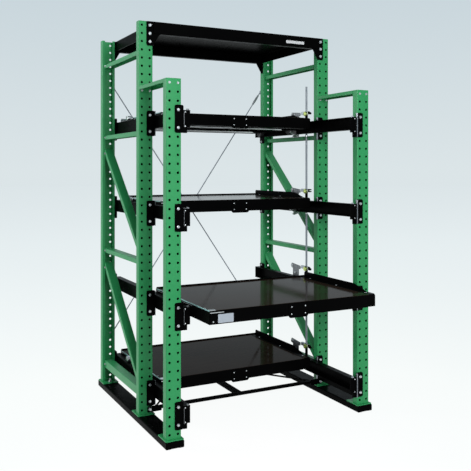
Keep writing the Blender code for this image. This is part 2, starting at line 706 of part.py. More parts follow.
def shelf_frame_mesh():
    front, rear = SHELF_FRONT_Y, SHELF_REAR_Y
    wall = SHELF_X - SHELF_SHEET
    block_x = SHELF_X - END_BLOCK_WIDTH
    block_y = front + END_BLOCK_SETBACK
    solids = left_side() + right_side(block_y)
    solids.append(box(-SHELF_X, block_x, front, front + SHELF_SHEET, SHELF_BOTTOM, SHELF_TOP))
    block_back = block_y + SHELF_SHEET
    solids.append(box(block_x - SHELF_SHEET, block_x, front, block_back, SHELF_BOTTOM, BEARER_TOP))
    solids.append(box(block_x - SHELF_SHEET, SHELF_X, block_y, block_back, SHELF_BOTTOM, BEARER_TOP))
    solids.append(box(SHELF_X - SHELF_FLANGE, SHELF_X, block_y, block_back, SHELF_BOTTOM, SHELF_TOP))
    rim_top = SHELF_TOP + REAR_RIM_RISE
    solids.append(box(-SHELF_X, SHELF_X, rear - SHELF_SHEET, rear, SHELF_BOTTOM, rim_top))
    for low, high in SHELF_FOLDS:
        solids.append(box(-wall, block_x, front, front + SHELF_LIP, low, high))
        solids.append(box(-wall, wall, rear - SHELF_LIP, rear, low, high))
    bearer_low = BEARER_TOP - SHELF_BEARER_DEPTH
    for share in SHELF_BEARER_SHARES:
        y = front + share * (rear - front)
        solids.append(box(-wall, wall, y, y + SHELF_BEARER_WIDTH, bearer_low, BEARER_TOP))
    low = SHELF_BOTTOM - FRONT_PLATE_DROP
    high = low + FRONT_PLATE_HEIGHT
    half, corner = FRONT_PLATE_WIDTH / 2, FRONT_PLATE_CORNER
    outline = [(-half + corner, low), (half - corner, low), (half, low + corner), (half, high),
               (-half, high), (-half, low + corner)]
    solids.append(prism(outline, "Y", front - FRONT_PLATE_SHEET, front + SHELF_SHEET / 2))
    cut_x, cut_z = SHELF_X - END_BLOCK_CUT - OVERRUN, SHELF_TOP - END_BLOCK_CUT - OVERRUN
    beyond_x, beyond_z = SHELF_X + OVERRUN, SHELF_TOP + OVERRUN
    outline = [(cut_x, beyond_z), (beyond_x, cut_z), (beyond_x, beyond_z)]
    corner_cut = prism(outline, "Y", block_y - OVERRUN, block_y + END_BLOCK_CUT)
    bore_radius = (AXLE_RADIUS + AXLE_PLAY) / math.cos(math.pi / AXLE_BORE_SIDES)
    bores = []
    bore_out, bore_in = SHELF_X + OVERRUN, wall - OVERRUN
    for y in (FRONT_AXLE_Y, REAR_AXLE_Y):
        for side in (-1, 1):
            start, end = (side * bore_out, y, AXLE_RISE), (side * bore_in, y, AXLE_RISE)
            bores.append(cylinder(start, end, bore_radius, AXLE_BORE_SIDES))
    return mesh_of("shelf_frame", fused(solids, bores + [corner_cut]))


def deck_mesh():
    """The deck plate, from the left side wall to the guard's flange at the right."""
    left = SHELF_SHEET + GAP - SHELF_X
    right = SHELF_X - SHELF_FLANGE - DECK_SIDE_PLAY
    start = SHELF_FRONT_Y + SHELF_SHEET + GAP
    end = SHELF_REAR_Y - SHELF_SHEET - GAP
    return mesh_of("shelf_deck", box(left, right, start, end, DECK_BOTTOM, SHELF_TOP))


def wheelset_mesh():
    """A shaft along X with a flat-treaded wheel near each end."""
    end = RAIL_OUTER_X - RAIL_SHEET - AXLE_END_PLAY
    outer = RAIL_OUTER_X - RAIL_SHEET - WHEEL_SIDE_PLAY
    inner = RAIL_INNER_X + WHEEL_INSET
    right = [(inner, AXLE_RADIUS), (inner, WHEEL_RADIUS), (outer, WHEEL_RADIUS), (outer, AXLE_RADIUS),
             (end, AXLE_RADIUS)]
    profile = [(-x, radius) for x, radius in reversed(right)] + right
    return mesh_of("wheelset", turned_along_x(profile, WHEEL_SIDES), smooth=True)


def make_shelves(root):
    frame_mesh, deck, wheels = shelf_frame_mesh(), deck_mesh(), wheelset_mesh()
    for level in range(1, LEVELS + 1):
        drawn = TRAVEL if level == DRAWN_LEVEL else 0
        holder = make_empty("shelf_%d" % level, root, (0, -drawn, level_height(level)))
        place("shelf_%d_frame" % level, frame_mesh, "black_paint", holder)
        place("shelf_%d_deck" % level, deck, "deck_paint", holder)
        for where, y in (("front", FRONT_AXLE_Y), ("rear", REAR_AXLE_Y)):
            name = "shelf_%d_wheels_%s" % (level, where)
            place(name, wheels, "nylon", holder, (0, y, AXLE_RISE))


def arm_mesh():
    """An arm on the rod: a block with a round nose and a forked end, clamped by a knob."""
    inner = ROD_X - ROD_RADIUS - ARM_INNER_WALL
    outer = ROD_X + ROD_RADIUS + ARM_OUTER_WALL
    front, back = ROD_Y - ARM_AHEAD, ROD_Y + ARM_BEHIND
    low, high = ARM_RISE, ARM_RISE + ARM_HEIGHT
    middle = (low + high) / 2
    outline = [(back, low), (back, high), (front + ARM_NOSE, high), (front, high - ARM_NOSE),
               (front, low + ARM_NOSE), (front + ARM_NOSE, low)]
    block = prism(outline, "X", inner, outer)
    stem_end = inner - KNOB_STEM_LENGTH
    knob_start = stem_end - KNOB_LENGTH
    stem_start, stem_back = stem_end - KNOB_LENGTH / 2, inner + ARM_INNER_WALL / 2
    knob = cylinder((knob_start, ROD_Y, middle), (stem_end, ROD_Y, middle), KNOB_RADIUS, KNOB_SIDES)
    stem = cylinder((stem_start, ROD_Y, middle), (stem_back, ROD_Y, middle),
                    KNOB_STEM_RADIUS, KNOB_SIDES)
    slot = box(inner - OVERRUN, outer + OVERRUN, front - OVERRUN, front + ARM_FORK_DEPTH,
               middle - ARM_FORK_SLOT / 2, middle + ARM_FORK_SLOT / 2)
    bore_start, bore_end = (ROD_X, ROD_Y, low - OVERRUN), (ROD_X, ROD_Y, high + OVERRUN)
    bore = cylinder(bore_start, bore_end, ROD_RADIUS + GAP, ROD_SIDES)
    return mesh_of("interlock_arm", fused([block, stem, knob], [slot, bore]))


def make_interlock(root, finish):
    """The rod, from the lowest sleeve to above the top level, and the arm at each level."""
    lift = make_empty("interlock", root, (ROD_X, ROD_Y, 0))
    bottom = level_height(LEVELS) + RAIL_TOP - SLEEVE_LUG_HEIGHT
    top = TOP_LEVEL + ROD_ABOVE_TOP_LEVEL
    rod = cylinder((0, 0, bottom), (0, 0, top), ROD_RADIUS, ROD_SIDES)
    place("interlock_rod", mesh_of("interlock_rod", rod, smooth=True), finish, lift)
    arm = arm_mesh()
    for level in range(1, LEVELS + 1):
        place("interlock_arm_%d" % level, arm, finish, lift, (-ROD_X, -ROD_Y, level_height(level)))


def main():
    clear_scene()
    centre_y = (RACK_FRONT_Y + BASE_END_Y) / 2
    root = make_empty("rack", None, (0, -centre_y, BASE_HEIGHT + GAP + FOOT_THICKNESS))
    make_posts(root, "green_paint")
    make_bases(root, "black_paint")
    make_braces(root, "green_paint")
    make_top_ties(root, "green_paint")
    make_top(root, "black_paint")
    make_rails(root, "black_paint")
    make_low_ties(root, "black_paint")
    make_back_rods(root, "black_paint")
    make_shelves(root)
    make_interlock(root, "zinc")


main()
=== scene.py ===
"""Looks of the sliding storage rack: folded sheet, punched posts, bolts, paint and zinc.

Metres, +Z up. Pieces are drawn in the rack frame: x from the middle plane, y from the front posts'
faces and z from the posts' feet. RACK is that frame's origin in the world, read from the model.
A level's own heights are measured from the lower bolt of its rail brackets.
"""
import math

import bmesh
import bpy
from mathutils import Matrix, Vector


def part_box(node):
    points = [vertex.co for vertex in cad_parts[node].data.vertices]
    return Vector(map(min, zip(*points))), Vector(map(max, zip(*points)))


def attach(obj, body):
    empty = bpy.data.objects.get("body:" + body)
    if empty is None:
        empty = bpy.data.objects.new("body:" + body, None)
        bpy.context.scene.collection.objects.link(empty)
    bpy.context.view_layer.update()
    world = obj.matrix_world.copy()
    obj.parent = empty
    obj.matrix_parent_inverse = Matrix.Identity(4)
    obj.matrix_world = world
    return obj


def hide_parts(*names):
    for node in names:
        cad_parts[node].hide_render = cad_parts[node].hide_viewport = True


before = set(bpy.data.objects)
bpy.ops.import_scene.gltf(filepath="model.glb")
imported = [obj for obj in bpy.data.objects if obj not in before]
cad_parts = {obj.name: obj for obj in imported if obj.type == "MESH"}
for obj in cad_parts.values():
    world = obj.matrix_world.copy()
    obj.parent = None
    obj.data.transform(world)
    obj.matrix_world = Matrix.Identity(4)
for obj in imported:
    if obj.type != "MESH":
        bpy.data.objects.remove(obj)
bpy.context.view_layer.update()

# The photograph's frame and the camera that fits it, in the rack frame
PHOTO_SIDE = 471
FOCAL_PIXELS = 702.7
HORIZON_ROW = 168.55
CAMERA_PLACE = (-2.1271, -3.6167, 1.4985)
CAMERA_TURN = 0.4754
SENSOR = 36.0

# Posts
POST_WEB = 0.090
POST_DEPTH = 0.050
POST_LIP = 0.018
POST_SHEET = 0.003
HOLE_PITCH = 0.050
HOLE_GAUGE = 0.050
HOLE_RADIUS = 0.0074
HOLE_SIDES = 16
FOOT_AHEAD = 0.018
FOOT_LENGTH = 0.123
FOOT_WIDTH = 0.110
FOOT_THICKNESS = 0.006
FOOT_CORNER = 0.006
ANCHOR_BEHIND = 0.078
ANCHOR_SCALE = 1.2

# Bolts with hexagon heads on round washers
BOLT_FLATS = 0.0150
BOLT_HEAD = 0.0065
WASHER_RADIUS = 0.0098
WASHER_SHEET = 0.0020
SCREW_SCALE = 0.50
RAIL_BOLT_SCALE = 0.85
BUTTON_RADIUS = WASHER_RADIUS * 0.8
BUTTON_HEIGHT = BOLT_HEAD * 0.55
BUTTON_STEPS = 5
BUTTON_ARC = math.pi / 2.2
BUTTON_SIDES = 20
RIM_SHARE = 0.25
CHAMFER_SHARES = {"head": 0.12, "bar": 0.15}
ROUND_SIDES = 24
STUD_RADIUS = 0.0042
STUD_HEIGHT = 0.024

# Bends, softened edges, clearances and how deep a fitting reaches into what carries it
SHEET_BEND = 0.0025
EDGE = 0.0009
BEND_STEPS = 4
SHARP_ANGLE = math.radians(30)
GAP = 0.0003
INLAY = 0.0002
SUNK = 0.001
THIN_EDGE = 0.0004
NEARLY = 1e-6

# Base beams and braces
BASE_HEIGHT = 0.040
BASE_SHEET = 0.004
BASE_LIP = 0.030
BASE_BEND = 0.004
BRACE_SHEET = 0.003
BRACE_TAB_INSET = 0.016
BRACE_BOLT_SCALE = 0.8
SLANT_ROUNDS = 8
TIE_FLANGE = 0.022
TIE_SHEET = 0.003
TIE_TAB = 0.004
TIE_BOLT_SCALE = 0.75

# Fixed top
BEAM_HEIGHT = 0.075
BEAM_SHEET = 0.004
BEAM_FLANGE = 0.030
BEAM_CLEARANCE = 0.003
BEAM_END_CAP = 0.058
END_PLATE_REACH = 0.042
END_PLATE_SHEET = 0.0057
END_PLATE_CORNERS = (0.006, 0.010, 0.010, 0.020)
TOP_GUSSET = 0.045
TOP_BOLT_SCALE = 0.95
TOP_LABEL_X = (0.344, 0.487)
TOP_LABEL_DROPS = (0.055, 0.036)
TOP_LABEL_CORNER = 0.002
TOP_LABEL_PROUD = 0.0012
PANEL_BEND = 0.005

# Rails and their brackets
RAIL_LOW = 0.018
RAIL_HIGH = 0.100
RAIL_SHEET = 0.004
RAIL_BEND = 0.004
STOP_THICKNESS = 0.014
STOP_FOOT_INSET = 0.018
STOP_LOW = 0.002
STOP_TOP_INSET = 0.003
STOP_INLAY = 0.0005
STOP_SCREW_X = 0.5825
STOP_SCREWS_Z = (0.009, 0.089)
BRACKET_SHEET = 0.006
BRACKET_CORNER = 0.010
BRACKET_DROP = 0.028
BRACKET_TOP = 0.128
BRACKET_REACH = 0.040
REAR_BRACKET_LENGTH = 0.060
REAR_BOLTS_Z = (-0.014, 0.114)
REAR_BOLT_SCALE = 0.8
BOLT_SPACING = 0.100
SHIM_SHEETS = {"left": 0.0020, "right": 0.0032}
SHIM_DEPTH = 0.012
SHIM_X = 0.594
SHIM_INSET = 0.002
LEFT_SHIM_Z = (0.004, 0.094)
SKIRTED_RAIL = "4_right"
TAB_SIZE = (0.014, 0.010, 0.008)

# Shelves
SHELF_LOW = 0.047
SHELF_HIGH = 0.122
SHELF_SHEET = 0.003
SHELF_LIP = 0.030
SHELF_FLANGE = 0.050
GUARD_SHEET = 0.003
GUARD_START = 0.092
GUARD_FULL = 0.226
GUARD_RISE = 0.033
GUARD_CORNERS = (0.002, 0.002, 0.012, 0.030, 0.030, 0.002, 0.002)
WALL_CORNER = 0.002
LEDGE_SHEET = 0.008
REAR_RIM_RISE = 0.008
END_BLOCK_WIDTH = 0.065
END_BLOCK_SETBACK = 0.013
END_BLOCK_CUT = 0.010
END_BLOCK_DROP = 0.002
END_BLOCK_CORNERS = (0.001, 0.002, 0.003, 0.003, 0.001)
END_WALL_DROP = 0.005
FRONT_PLATE_CORNERS = (0.016, 0.016, 0.002, 0.002)
FRONT_PLATE_OUTLINE = ((-0.065, 0.036), (0.065, 0.036), (0.065, 0.115), (-0.065, 0.115))
FRONT_PLATE_ROOM = 0.004
FRONT_PLATE_SHEET = 0.002
BEARER_SHARES = (0.30, 0.66)
BEARER_WIDTH = 0.040
BEARER_DEPTH = 0.030
CATCH_Y = 0.563
CATCH_LENGTH = 0.086
CATCH_HEIGHTS = (0.1012, 0.129)
CATCH_SCREW_SHARE = 0.34
CATCH_SCREW_SCALE = 0.7
CATCH_STEPS = 6
SHELF_LABEL = (-0.503, -0.411, 0.053, 0.100, 0.003)
SHELF_LABEL_PROUD = 0.0014
DECK_EDGE = 0.0012
# The catch's two links: shares of its length, lift, share of its height in the corners, how far
# they stand off the shelf's side, and edge
CATCH_LINKS = ((-0.50, 0.50, 0.000, 0.49, 0.010, 0.001, 0.002),
               (-0.32, 0.18, 0.004, 0.35, 0.034, 0.009, 0.003))

# Wheels
WHEEL_END_ROOM = 0.004
WHEEL_SIDE_ROOM = 0.002
# A wheel's face from its bore to its tread, as (distance inside the tread, depth)
WHEEL_FACE = ((0.0285, 0), (0.02117, 0), (0.01917, 0.003), (0.010, 0.003), (0.008, 0), (0.003, 0),
              (0.0008, 0.0008), (0, 0.003))
WHEEL_SIDES = 40
SHAFT_RADIUS = 0.0079


def lowest(node):
    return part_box(node)[0]


def highest(node):
    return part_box(node)[1]


def along_y(node):
    """A node's start and end along Y."""
    return lowest(node).y - RACK.y, highest(node).y - RACK.y


def level_height(level):
    """Height of a level's lower bracket bolt above the posts' feet."""
    return lowest(f"rail_{level}_left").z - RACK.z + BRACKET_DROP


# Places read from the frame
FIRST_FOOT = lowest("post_front_left")
RACK = Vector((0, FIRST_FOOT.y + FOOT_AHEAD, FIRST_FOOT.z + FOOT_THICKNESS))
POST_X = (lowest("post_front_right").x + highest("post_front_right").x) / 2
POST_INNER_X = POST_X - POST_WEB / 2
LOW_POST = highest("post_front_left").z - RACK.z
HIGH_POST = highest("post_middle_left").z - RACK.z
MIDDLE_POST_Y = lowest("post_middle_left").y + FOOT_AHEAD - RACK.y
REAR_POST_Y = highest("post_rear_left").y - FOOT_AHEAD - RACK.y
LEVELS = (1, 2, 3, 4)
HANDS = (("left", -1), ("right", 1))
RAIL_OUTER_X = 0.597
SHELF_X = highest("shelf_1_frame").x
SHELF_SIDE_PLAY = 0.001
RAIL_INNER_X = SHELF_X + SHELF_SIDE_PLAY
SHELF_DEPTH = highest("shelf_1_frame").y - lowest("shelf_1_frame").y - FRONT_PLATE_ROOM


# Materials
NOISE_SPAN = (0.3, 0.7)
DECK_IOR = 1.05
BLACK_IOR = 1.06


def add_node(tree, kind, values):
    """A shader node; outputs given for its inputs are linked, other values set."""
    made = tree.nodes.new("ShaderNode" + kind)
    for name, value in values.items():
        if isinstance(value, bpy.types.NodeSocket):
            tree.links.new(value, made.inputs[name])
        else:
            made.inputs[name].default_value = value
    return made


def noise(tree, place, scale, detail, stretch=None):
    if stretch:
        place = add_node(tree, "Mapping", {"Vector": place, "Scale": stretch}).outputs["Vector"]
    return add_node(tree, "TexNoise", {"Vector": place, "Scale": scale, "Detail": detail}).outputs["Fac"]


def ramp(tree, value, colours, positions=NOISE_SPAN):
    """Colours along a value, each at its position."""
    made = add_node(tree, "ValToRGB", {"Fac": value})
    stops = made.color_ramp.elements
    while len(stops) < len(colours):
        stops.new(0.5)
    for stop, colour, position in zip(stops, colours, positions):
        stop.position = position
        stop.color = (*colour, 1)
    return made.outputs["Color"]


def spread(tree, value, low, high):
    """A noise turned into a value between two limits."""
    start, end = NOISE_SPAN
    values = {"Value": value, "From Min": start, "From Max": end, "To Min": low, "To Max": high}
    return add_node(tree, "MapRange", values).outputs["Result"]


def coat(name, tints, tint_grain, gloss, gloss_grain, relief, metallic=0, specular=0.5, ior=1.5):
    """Two close tints, uneven gloss and a fine relief, each with its noise."""
    material = bpy.data.materials.new(name)
    material.use_nodes = True
    tree = material.node_tree
    shader = tree.nodes["Principled BSDF"]
    place = add_node(tree, "TexCoord", {}).outputs["Object"]
    tint = ramp(tree, noise(tree, place, *tint_grain), tints)
    tree.links.new(tint, shader.inputs["Base Color"])
    rough = spread(tree, noise(tree, place, *gloss_grain), *gloss)
    tree.links.new(rough, shader.inputs["Roughness"])
    shader.inputs["Metallic"].default_value = metallic
    shader.inputs["Specular IOR Level"].default_value = specular
    shader.inputs["IOR"].default_value = ior
    grain, strength, depth = relief
    values = {"Strength": strength, "Distance": depth, "Height": noise(tree, place, *grain)}
    tree.links.new(add_node(tree, "Bump", values).outputs["Normal"], shader.inputs["Normal"])
    return material


def powder_coat(name, tints, gloss, specular=0.5, ior=1.5):
    """Paint with a fine orange peel."""
    return coat(name, tints, (3.5, 4), gloss, (22, 3), ((620, 1), 0.12, 0.0004), 0, specular, ior)


def zinc_plate(name, tints, gloss):
    """Bright plating with a fine grain."""
    return coat(name, tints, (70, 3), gloss, (240, 2), ((900, 1), 0.10, 0.0003), 1)


GREEN = powder_coat("green_paint", ((0.026, 0.310, 0.099), (0.033, 0.350, 0.115)), (0.34, 0.42), 0.30)
# Black paint; on the boxed posts' inner walls it is painted shade
BLACK = powder_coat("black_paint", ((0.0012, 0.0012, 0.0013), (0.0020, 0.0020, 0.0021)), (0.26, 0.36),
                    ior=BLACK_IOR)
# Dark glossy sheet with faint drawn streaks along the shelf
DECK = coat("deck_gloss", ((0.0210, 0.0135, 0.0100), (0.0290, 0.0190, 0.0140)), (6, 4, (0.7, 7, 1)),
            (0.08, 0.12), (9, 3), ((300, 1), 0.04, 0.0003), ior=DECK_IOR)
ZINC = zinc_plate("zinc", ((0.46, 0.49, 0.51), (0.64, 0.66, 0.67)), (0.26, 0.36))
GREY_ZINC = zinc_plate("grey_zinc", ((0.31, 0.34, 0.37), (0.42, 0.45, 0.48)), (0.34, 0.46))
# Also on the left rail shims, where its darker tone is painted shade
HOOK_ZINC = zinc_plate("hook_zinc", ((0.13, 0.14, 0.15), (0.21, 0.22, 0.23)), (0.36, 0.48))
YELLOW_ZINC = zinc_plate("yellow_zinc", ((0.45, 0.54, 0.15), (0.62, 0.70, 0.26)), (0.25, 0.38))
# Matt moulded wheels with turning marks
NYLON = coat("wheel_nylon", ((0.045, 0.045, 0.047), (0.075, 0.075, 0.078)), (30, 3),
             (0.45, 0.6), (60, 2), ((40, 1, (30, 1, 1)), 0.15, 0.0004))
LABEL = powder_coat("label_white", ((0.62, 0.64, 0.66), (0.70, 0.72, 0.73)), (0.28, 0.36))
PLATE_GREY = powder_coat("plate_grey", ((0.38, 0.43, 0.49), (0.44, 0.49, 0.55)), (0.28, 0.36))
ROD_GREY = powder_coat("rod_grey", ((0.26, 0.30, 0.35), (0.33, 0.37, 0.43)), (0.30, 0.42))
# Painted highlight: a pale teal coat that stands for the bright line of light along the shelves' left top
# edges
TEAL_HIGHLIGHT = powder_coat("painted_edge_highlight", ((0.20, 0.45, 0.45), (0.34, 0.60, 0.60)), (0.22, 0.32), 0.7)


# Solids, each returned as its own bmesh
def soften(bm, size):
    """Rounds every sharp edge."""
    edges = [e for e in bm.edges if len(e.link_faces) == 2 and e.calc_face_angle(0) > SHARP_ANGLE]
    bmesh.ops.bevel(bm, geom=edges, offset=size, segments=2, profile=0.5, affect="EDGES",
                    clamp_overlap=True)
    return bm


def block(x0, x1, y0, y1, z0, z1, edge=EDGE):
    bm = bmesh.new()
    corners = bmesh.ops.create_cube(bm, size=1)["verts"]
    low = (min(x0, x1), min(y0, y1), min(z0, z1))
    high = (max(x0, x1), max(y0, y1), max(z0, z1))
    for corner in corners:
        corner.co = [high[i] if corner.co[i] > 0 else low[i] for i in range(3)]
    return soften(bm, edge) if edge else bm


def mirrored(half):
    """Half an outline and its mirror image."""
    return half + [(-a, b) for a, b in reversed(half)]


def both_ends(half, length):
    """A profile's first half and its mirror image at the far end."""
    return half + [(radius, length - height) for radius, height in reversed(half)]


def point_along(axis, a, b, along):
    return {"X": (along, a, b), "Y": (a, along, b), "Z": (a, b, along)}[axis]


def bridge(bm, ring, after):
    """A band of faces between two rings."""
    for i in range(len(ring)):
        bm.faces.new((ring[i - 1], ring[i], after[i], after[i - 1]))


def swept(outline, axis, start, end, edge=0.0):
    """An outline carried along X (as y, z), Y (as x, z) or Z (as x, y)."""
    bm = bmesh.new()
    near, far = ([bm.verts.new(point_along(axis, a, b, place)) for a, b in outline]
                 for place in (start, end))
    bm.faces.new(near)
    bm.faces.new(far)
    bridge(bm, near, far)
    bmesh.ops.recalc_face_normals(bm, faces=bm.faces[:])
    return soften(bm, edge) if edge else bm


def turned(profile, sides):
    """A solid of revolution about Z, from (radius, height) points."""
    bm = bmesh.new()
    turns = [2 * math.pi * i / sides for i in range(sides)]
    rings = [[bm.verts.new((radius * math.cos(t), radius * math.sin(t), height)) for t in turns]
             for radius, height in profile]
    for ring, after in zip(rings, rings[1:]):
        bridge(bm, ring, after)
    bm.faces.new(rings[0])
    bm.faces.new(rings[-1])
    bmesh.ops.recalc_face_normals(bm, faces=bm.faces[:])
    return bm


def append(bm, part, matrix=Matrix()):
    """Adds one solid to another bmesh, moved by a matrix."""
    mesh = bpy.data.meshes.new("part")
    part.to_mesh(mesh)
    part.free()
    mesh.transform(matrix)
    bm.from_mesh(mesh)
    bpy.data.meshes.remove(mesh)


def add_all(bm, *parts):
    """Adds solids to a bmesh and gives it back."""
    for part in parts:
        append(bm, part)
    return bm


def facing(place, normal):
    """Matrix that stands a solid on a face."""
    return Matrix.Translation(place) @ Vector(normal).to_track_quat("Z", "Y").to_matrix().to_4x4()


def bar(start, end, radius, sides=20):
    """A round bar with chamfered ends."""
    start, end = Vector(start), Vector(end)
    length = (end - start).length
    chamfer = min(radius, length) * CHAMFER_SHARES["bar"]
    bm = turned(both_ends([(radius - chamfer, 0), (radius, chamfer)], length), sides)
    bmesh.ops.transform(bm, matrix=facing(start, end - start), verts=bm.verts[:])
    return bm


def rounded(path, radii, steps=BEND_STEPS):
    """A path whose corners are arcs; a radius of 0 leaves one sharp."""
    path = [Vector(point) for point in path]
    points = []
    for i, (corner, radius) in enumerate(zip(path, radii)):
        if radius == 0:
            points.append(corner)
            continue
        back = (path[i - 1] - corner).normalized()
        ahead = (path[(i + 1) % len(path)] - corner).normalized()
        half = back.angle(ahead) / 2
        centre = corner + (back + ahead).normalized() * (radius / math.sin(half))
        reach = radius / math.tan(half)
        first, last = corner + back * reach - centre, corner + ahead * reach - centre
        turn = math.atan2(first.x * last.y - first.y * last.x, first.dot(last))
        points += [centre + Matrix.Rotation(turn * k / steps, 2) @ first for k in range(steps + 1)]
    return points


def fold(path, sheet, bend=SHEET_BEND):
    """Outline of a sheet folded along a path down its middle."""
    path = [Vector(point) for point in path]
    ways = [(after - before).normalized() for before, after in zip(path, path[1:])]
    sides = []
    for offset in (sheet / 2, -sheet / 2):
        line, radii = [], []
        for point, before, after in zip(path, ways[:1] + ways, ways + ways[-1:]):
            left = Vector((-before.y - after.y, before.x + after.x)) / (1 + before.dot(after))
            line.append(point + left * offset)
            cross = before.x * after.y - before.y * after.x
            turned_to = (cross > NEARLY) - (cross < -NEARLY)
            radii.append(abs(turned_to) * (bend - turned_to * offset))
        sides.append(rounded(line, radii))
    return sides[0] + sides[1][::-1]


def plate(a0, a1, b0, b1, corner, steps=BEND_STEPS):
    """A rectangle with round corners."""
    a0, a1 = sorted((a0, a1))
    return rounded([(a0, b0), (a1, b0), (a1, b1), (a0, b1)], [corner] * 4, steps)


def bolt(scale=1.0):
    """Hexagon head with a chamfered rim, on a washer."""
    corner = BOLT_FLATS / 2 / math.cos(math.pi / 6) * scale
    washer = WASHER_RADIUS * scale
    base, top = WASHER_SHEET * scale, (WASHER_SHEET + BOLT_HEAD) * scale
    rim, chamfer = base * RIM_SHARE, corner * CHAMFER_SHARES["head"]
    bm = turned(both_ends([(washer - rim, 0), (washer, rim)], base), ROUND_SIDES)
    append(bm, turned([(corner, base), (corner, top - chamfer), (corner - chamfer, top)], 6))
    return bm


def button(scale=1.0):
    """Low round screw head."""
    radius, height = BUTTON_RADIUS * scale, BUTTON_HEIGHT * scale
    angles = [BUTTON_ARC * k / BUTTON_STEPS for k in range(BUTTON_STEPS + 1)]
    return turned([(radius * math.cos(a), height * math.sin(a)) for a in angles], BUTTON_SIDES)


def bolts(places, normal, scale=1.0, head=bolt):
    bm = bmesh.new()
    for place in places:
        append(bm, head(scale), facing(place, normal))
    return bm


# Objects
def mesh_of(name, bm, material):
    mesh = bpy.data.meshes.new(name)
    bm.to_mesh(mesh)
    bm.free()
    mesh.materials.append(material)
    mesh.shade_smooth()
    mesh.set_sharp_from_angle(angle=SHARP_ANGLE)
    return mesh


def linked(name, data):
    thing = bpy.data.objects.new(name, data)
    bpy.context.scene.collection.objects.link(thing)
    return thing


def put(name, mesh, body, nodes=(), at=(0, 0, 0), turn=0):
    """Places a mesh on its body and hides the parts it stands for."""
    thing = linked(name, mesh)
    thing.location = RACK + Vector(at)
    thing.rotation_euler = (0, 0, turn)
    thing.modifiers.new("even_shading", "WEIGHTED_NORMAL").keep_sharp = True
    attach(thing, body)
    if nodes:
        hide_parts(*nodes)


def piece(name, bm, material, body, nodes=(), at=(0, 0, 0)):
    """Places a solid that is used once."""
    put(name, mesh_of(name, bm, material), body, nodes, at)


def fittings(*rows):
    """Meshes that are placed at every level, with their slots."""
    return [(name, mesh_of(name, bm, material), slot) for name, bm, material, slot in rows]


def put_fittings(rows, tag, body, at):
    for name, mesh, slot in rows:
        put(f"{name}_{tag}", mesh, body, (), at)


# Posts
def add_hole_cell(bm, corners, centre, y, rings):
    """Four faces between a cell's corners and the ring of its hole."""
    ring = []
    for k in range(HOLE_SIDES):
        angle = 2 * math.pi * k / HOLE_SIDES
        x, z = HOLE_RADIUS * math.cos(angle), HOLE_RADIUS * math.sin(angle)
        ring.append(bm.verts.new((centre[0] + x, y, centre[1] + z)))
    quarter, first = HOLE_SIDES // 4, HOLE_SIDES * 5 // 8
    for side in range(4):
        arc = [ring[(first + side * quarter + k) % HOLE_SIDES] for k in range(quarter + 1)]
        bm.faces.new([corners[side], corners[(side + 1) % 4]] + arc[::-1])
    rings.append(ring)


def channel_outline():
    """Web, sides and lips of an open post, as one closed line."""
    half, lip = (POST_WEB - POST_SHEET) / 2, POST_WEB / 2 - POST_LIP
    web, edge = POST_SHEET / 2, POST_DEPTH - POST_SHEET / 2
    left = [(-lip, edge), (-half, edge), (-half, web)]
    path = left + [(0, web)] + [(-a, b) for a, b in reversed(left)]
    return fold(path, POST_SHEET)


def box_outline(inset, corner):
    """A boxed post's section drawn in by an inset, its web split in two."""
    half, near, far = POST_WEB / 2 - inset, inset, POST_DEPTH - inset
    path = [(0, near), (half, near), (half, far), (-half, far), (-half, near)]
    return rounded(path, [0] + [corner] * 4)


def add_walls(bm, outline, rows, holes):
    """Walls up a post; the web's cells have holes, whose rings are kept."""
    rings = [[bm.verts.new((p.x, p.y, row * HOLE_PITCH)) for p in outline] for row in range(rows + 1)]
    for row in range(rows):
        low, high = rings[row], rings[row + 1]
        for i in range(len(outline)):
            a, b = outline[i - 1], outline[i]
            level = abs(a.y - b.y) < NEARLY and a.y < POST_DEPTH / 2
            if not level or abs(a.x - b.x) < HOLE_GAUGE / 2:
                bm.faces.new((low[i - 1], low[i], high[i], high[i - 1]))
                continue
            order = (i - 1, i) if a.x < b.x else (i, i - 1)
            corners = [low[order[0]], low[order[1]], high[order[1]], high[order[0]]]
            side = -1 if a.x + b.x < 0 else 1
            centre = (side * HOLE_GAUGE / 2, (row + 0.5) * HOLE_PITCH)
            add_hole_cell(bm, corners, centre, a.y, holes.setdefault((row, side), []))
    return rings[0], rings[-1]


def post_bmesh(height, boxed):
    """Box or lipped channel with two columns of holes in its web, on a foot plate; a box's inner walls
    take black paint as painted shade.
    """
    rows = int(round(height / HOLE_PITCH))
    holes = {}
    bm = bmesh.new()
    if boxed:
        outer = add_walls(bm, box_outline(0, SHEET_BEND + POST_SHEET), rows, holes)
        painted_shade_from = len(bm.faces)
        inner = add_walls(bm, box_outline(POST_SHEET, SHEET_BEND), rows, holes)
        bm.faces.ensure_lookup_table()
        # Painted shade: the inner walls take the second slot, black paint, so the holes look dark inside
        for face in bm.faces[painted_shade_from:]:
            face.material_index = 1
        for ring, within in zip(outer, inner):
            bridge(bm, ring, within)
    else:
        for ring in add_walls(bm, channel_outline(), rows, holes):
            bm.faces.new(ring)
    for near, far in holes.values():
        bridge(bm, near, far)
    bmesh.ops.recalc_face_normals(bm, faces=bm.faces[:])
    foot_back = FOOT_LENGTH - FOOT_AHEAD
    foot = plate(-FOOT_WIDTH / 2, FOOT_WIDTH / 2, -FOOT_AHEAD, foot_back, FOOT_CORNER)
    append(bm, swept(foot, "Z", -FOOT_THICKNESS, 0, EDGE))
    return bm


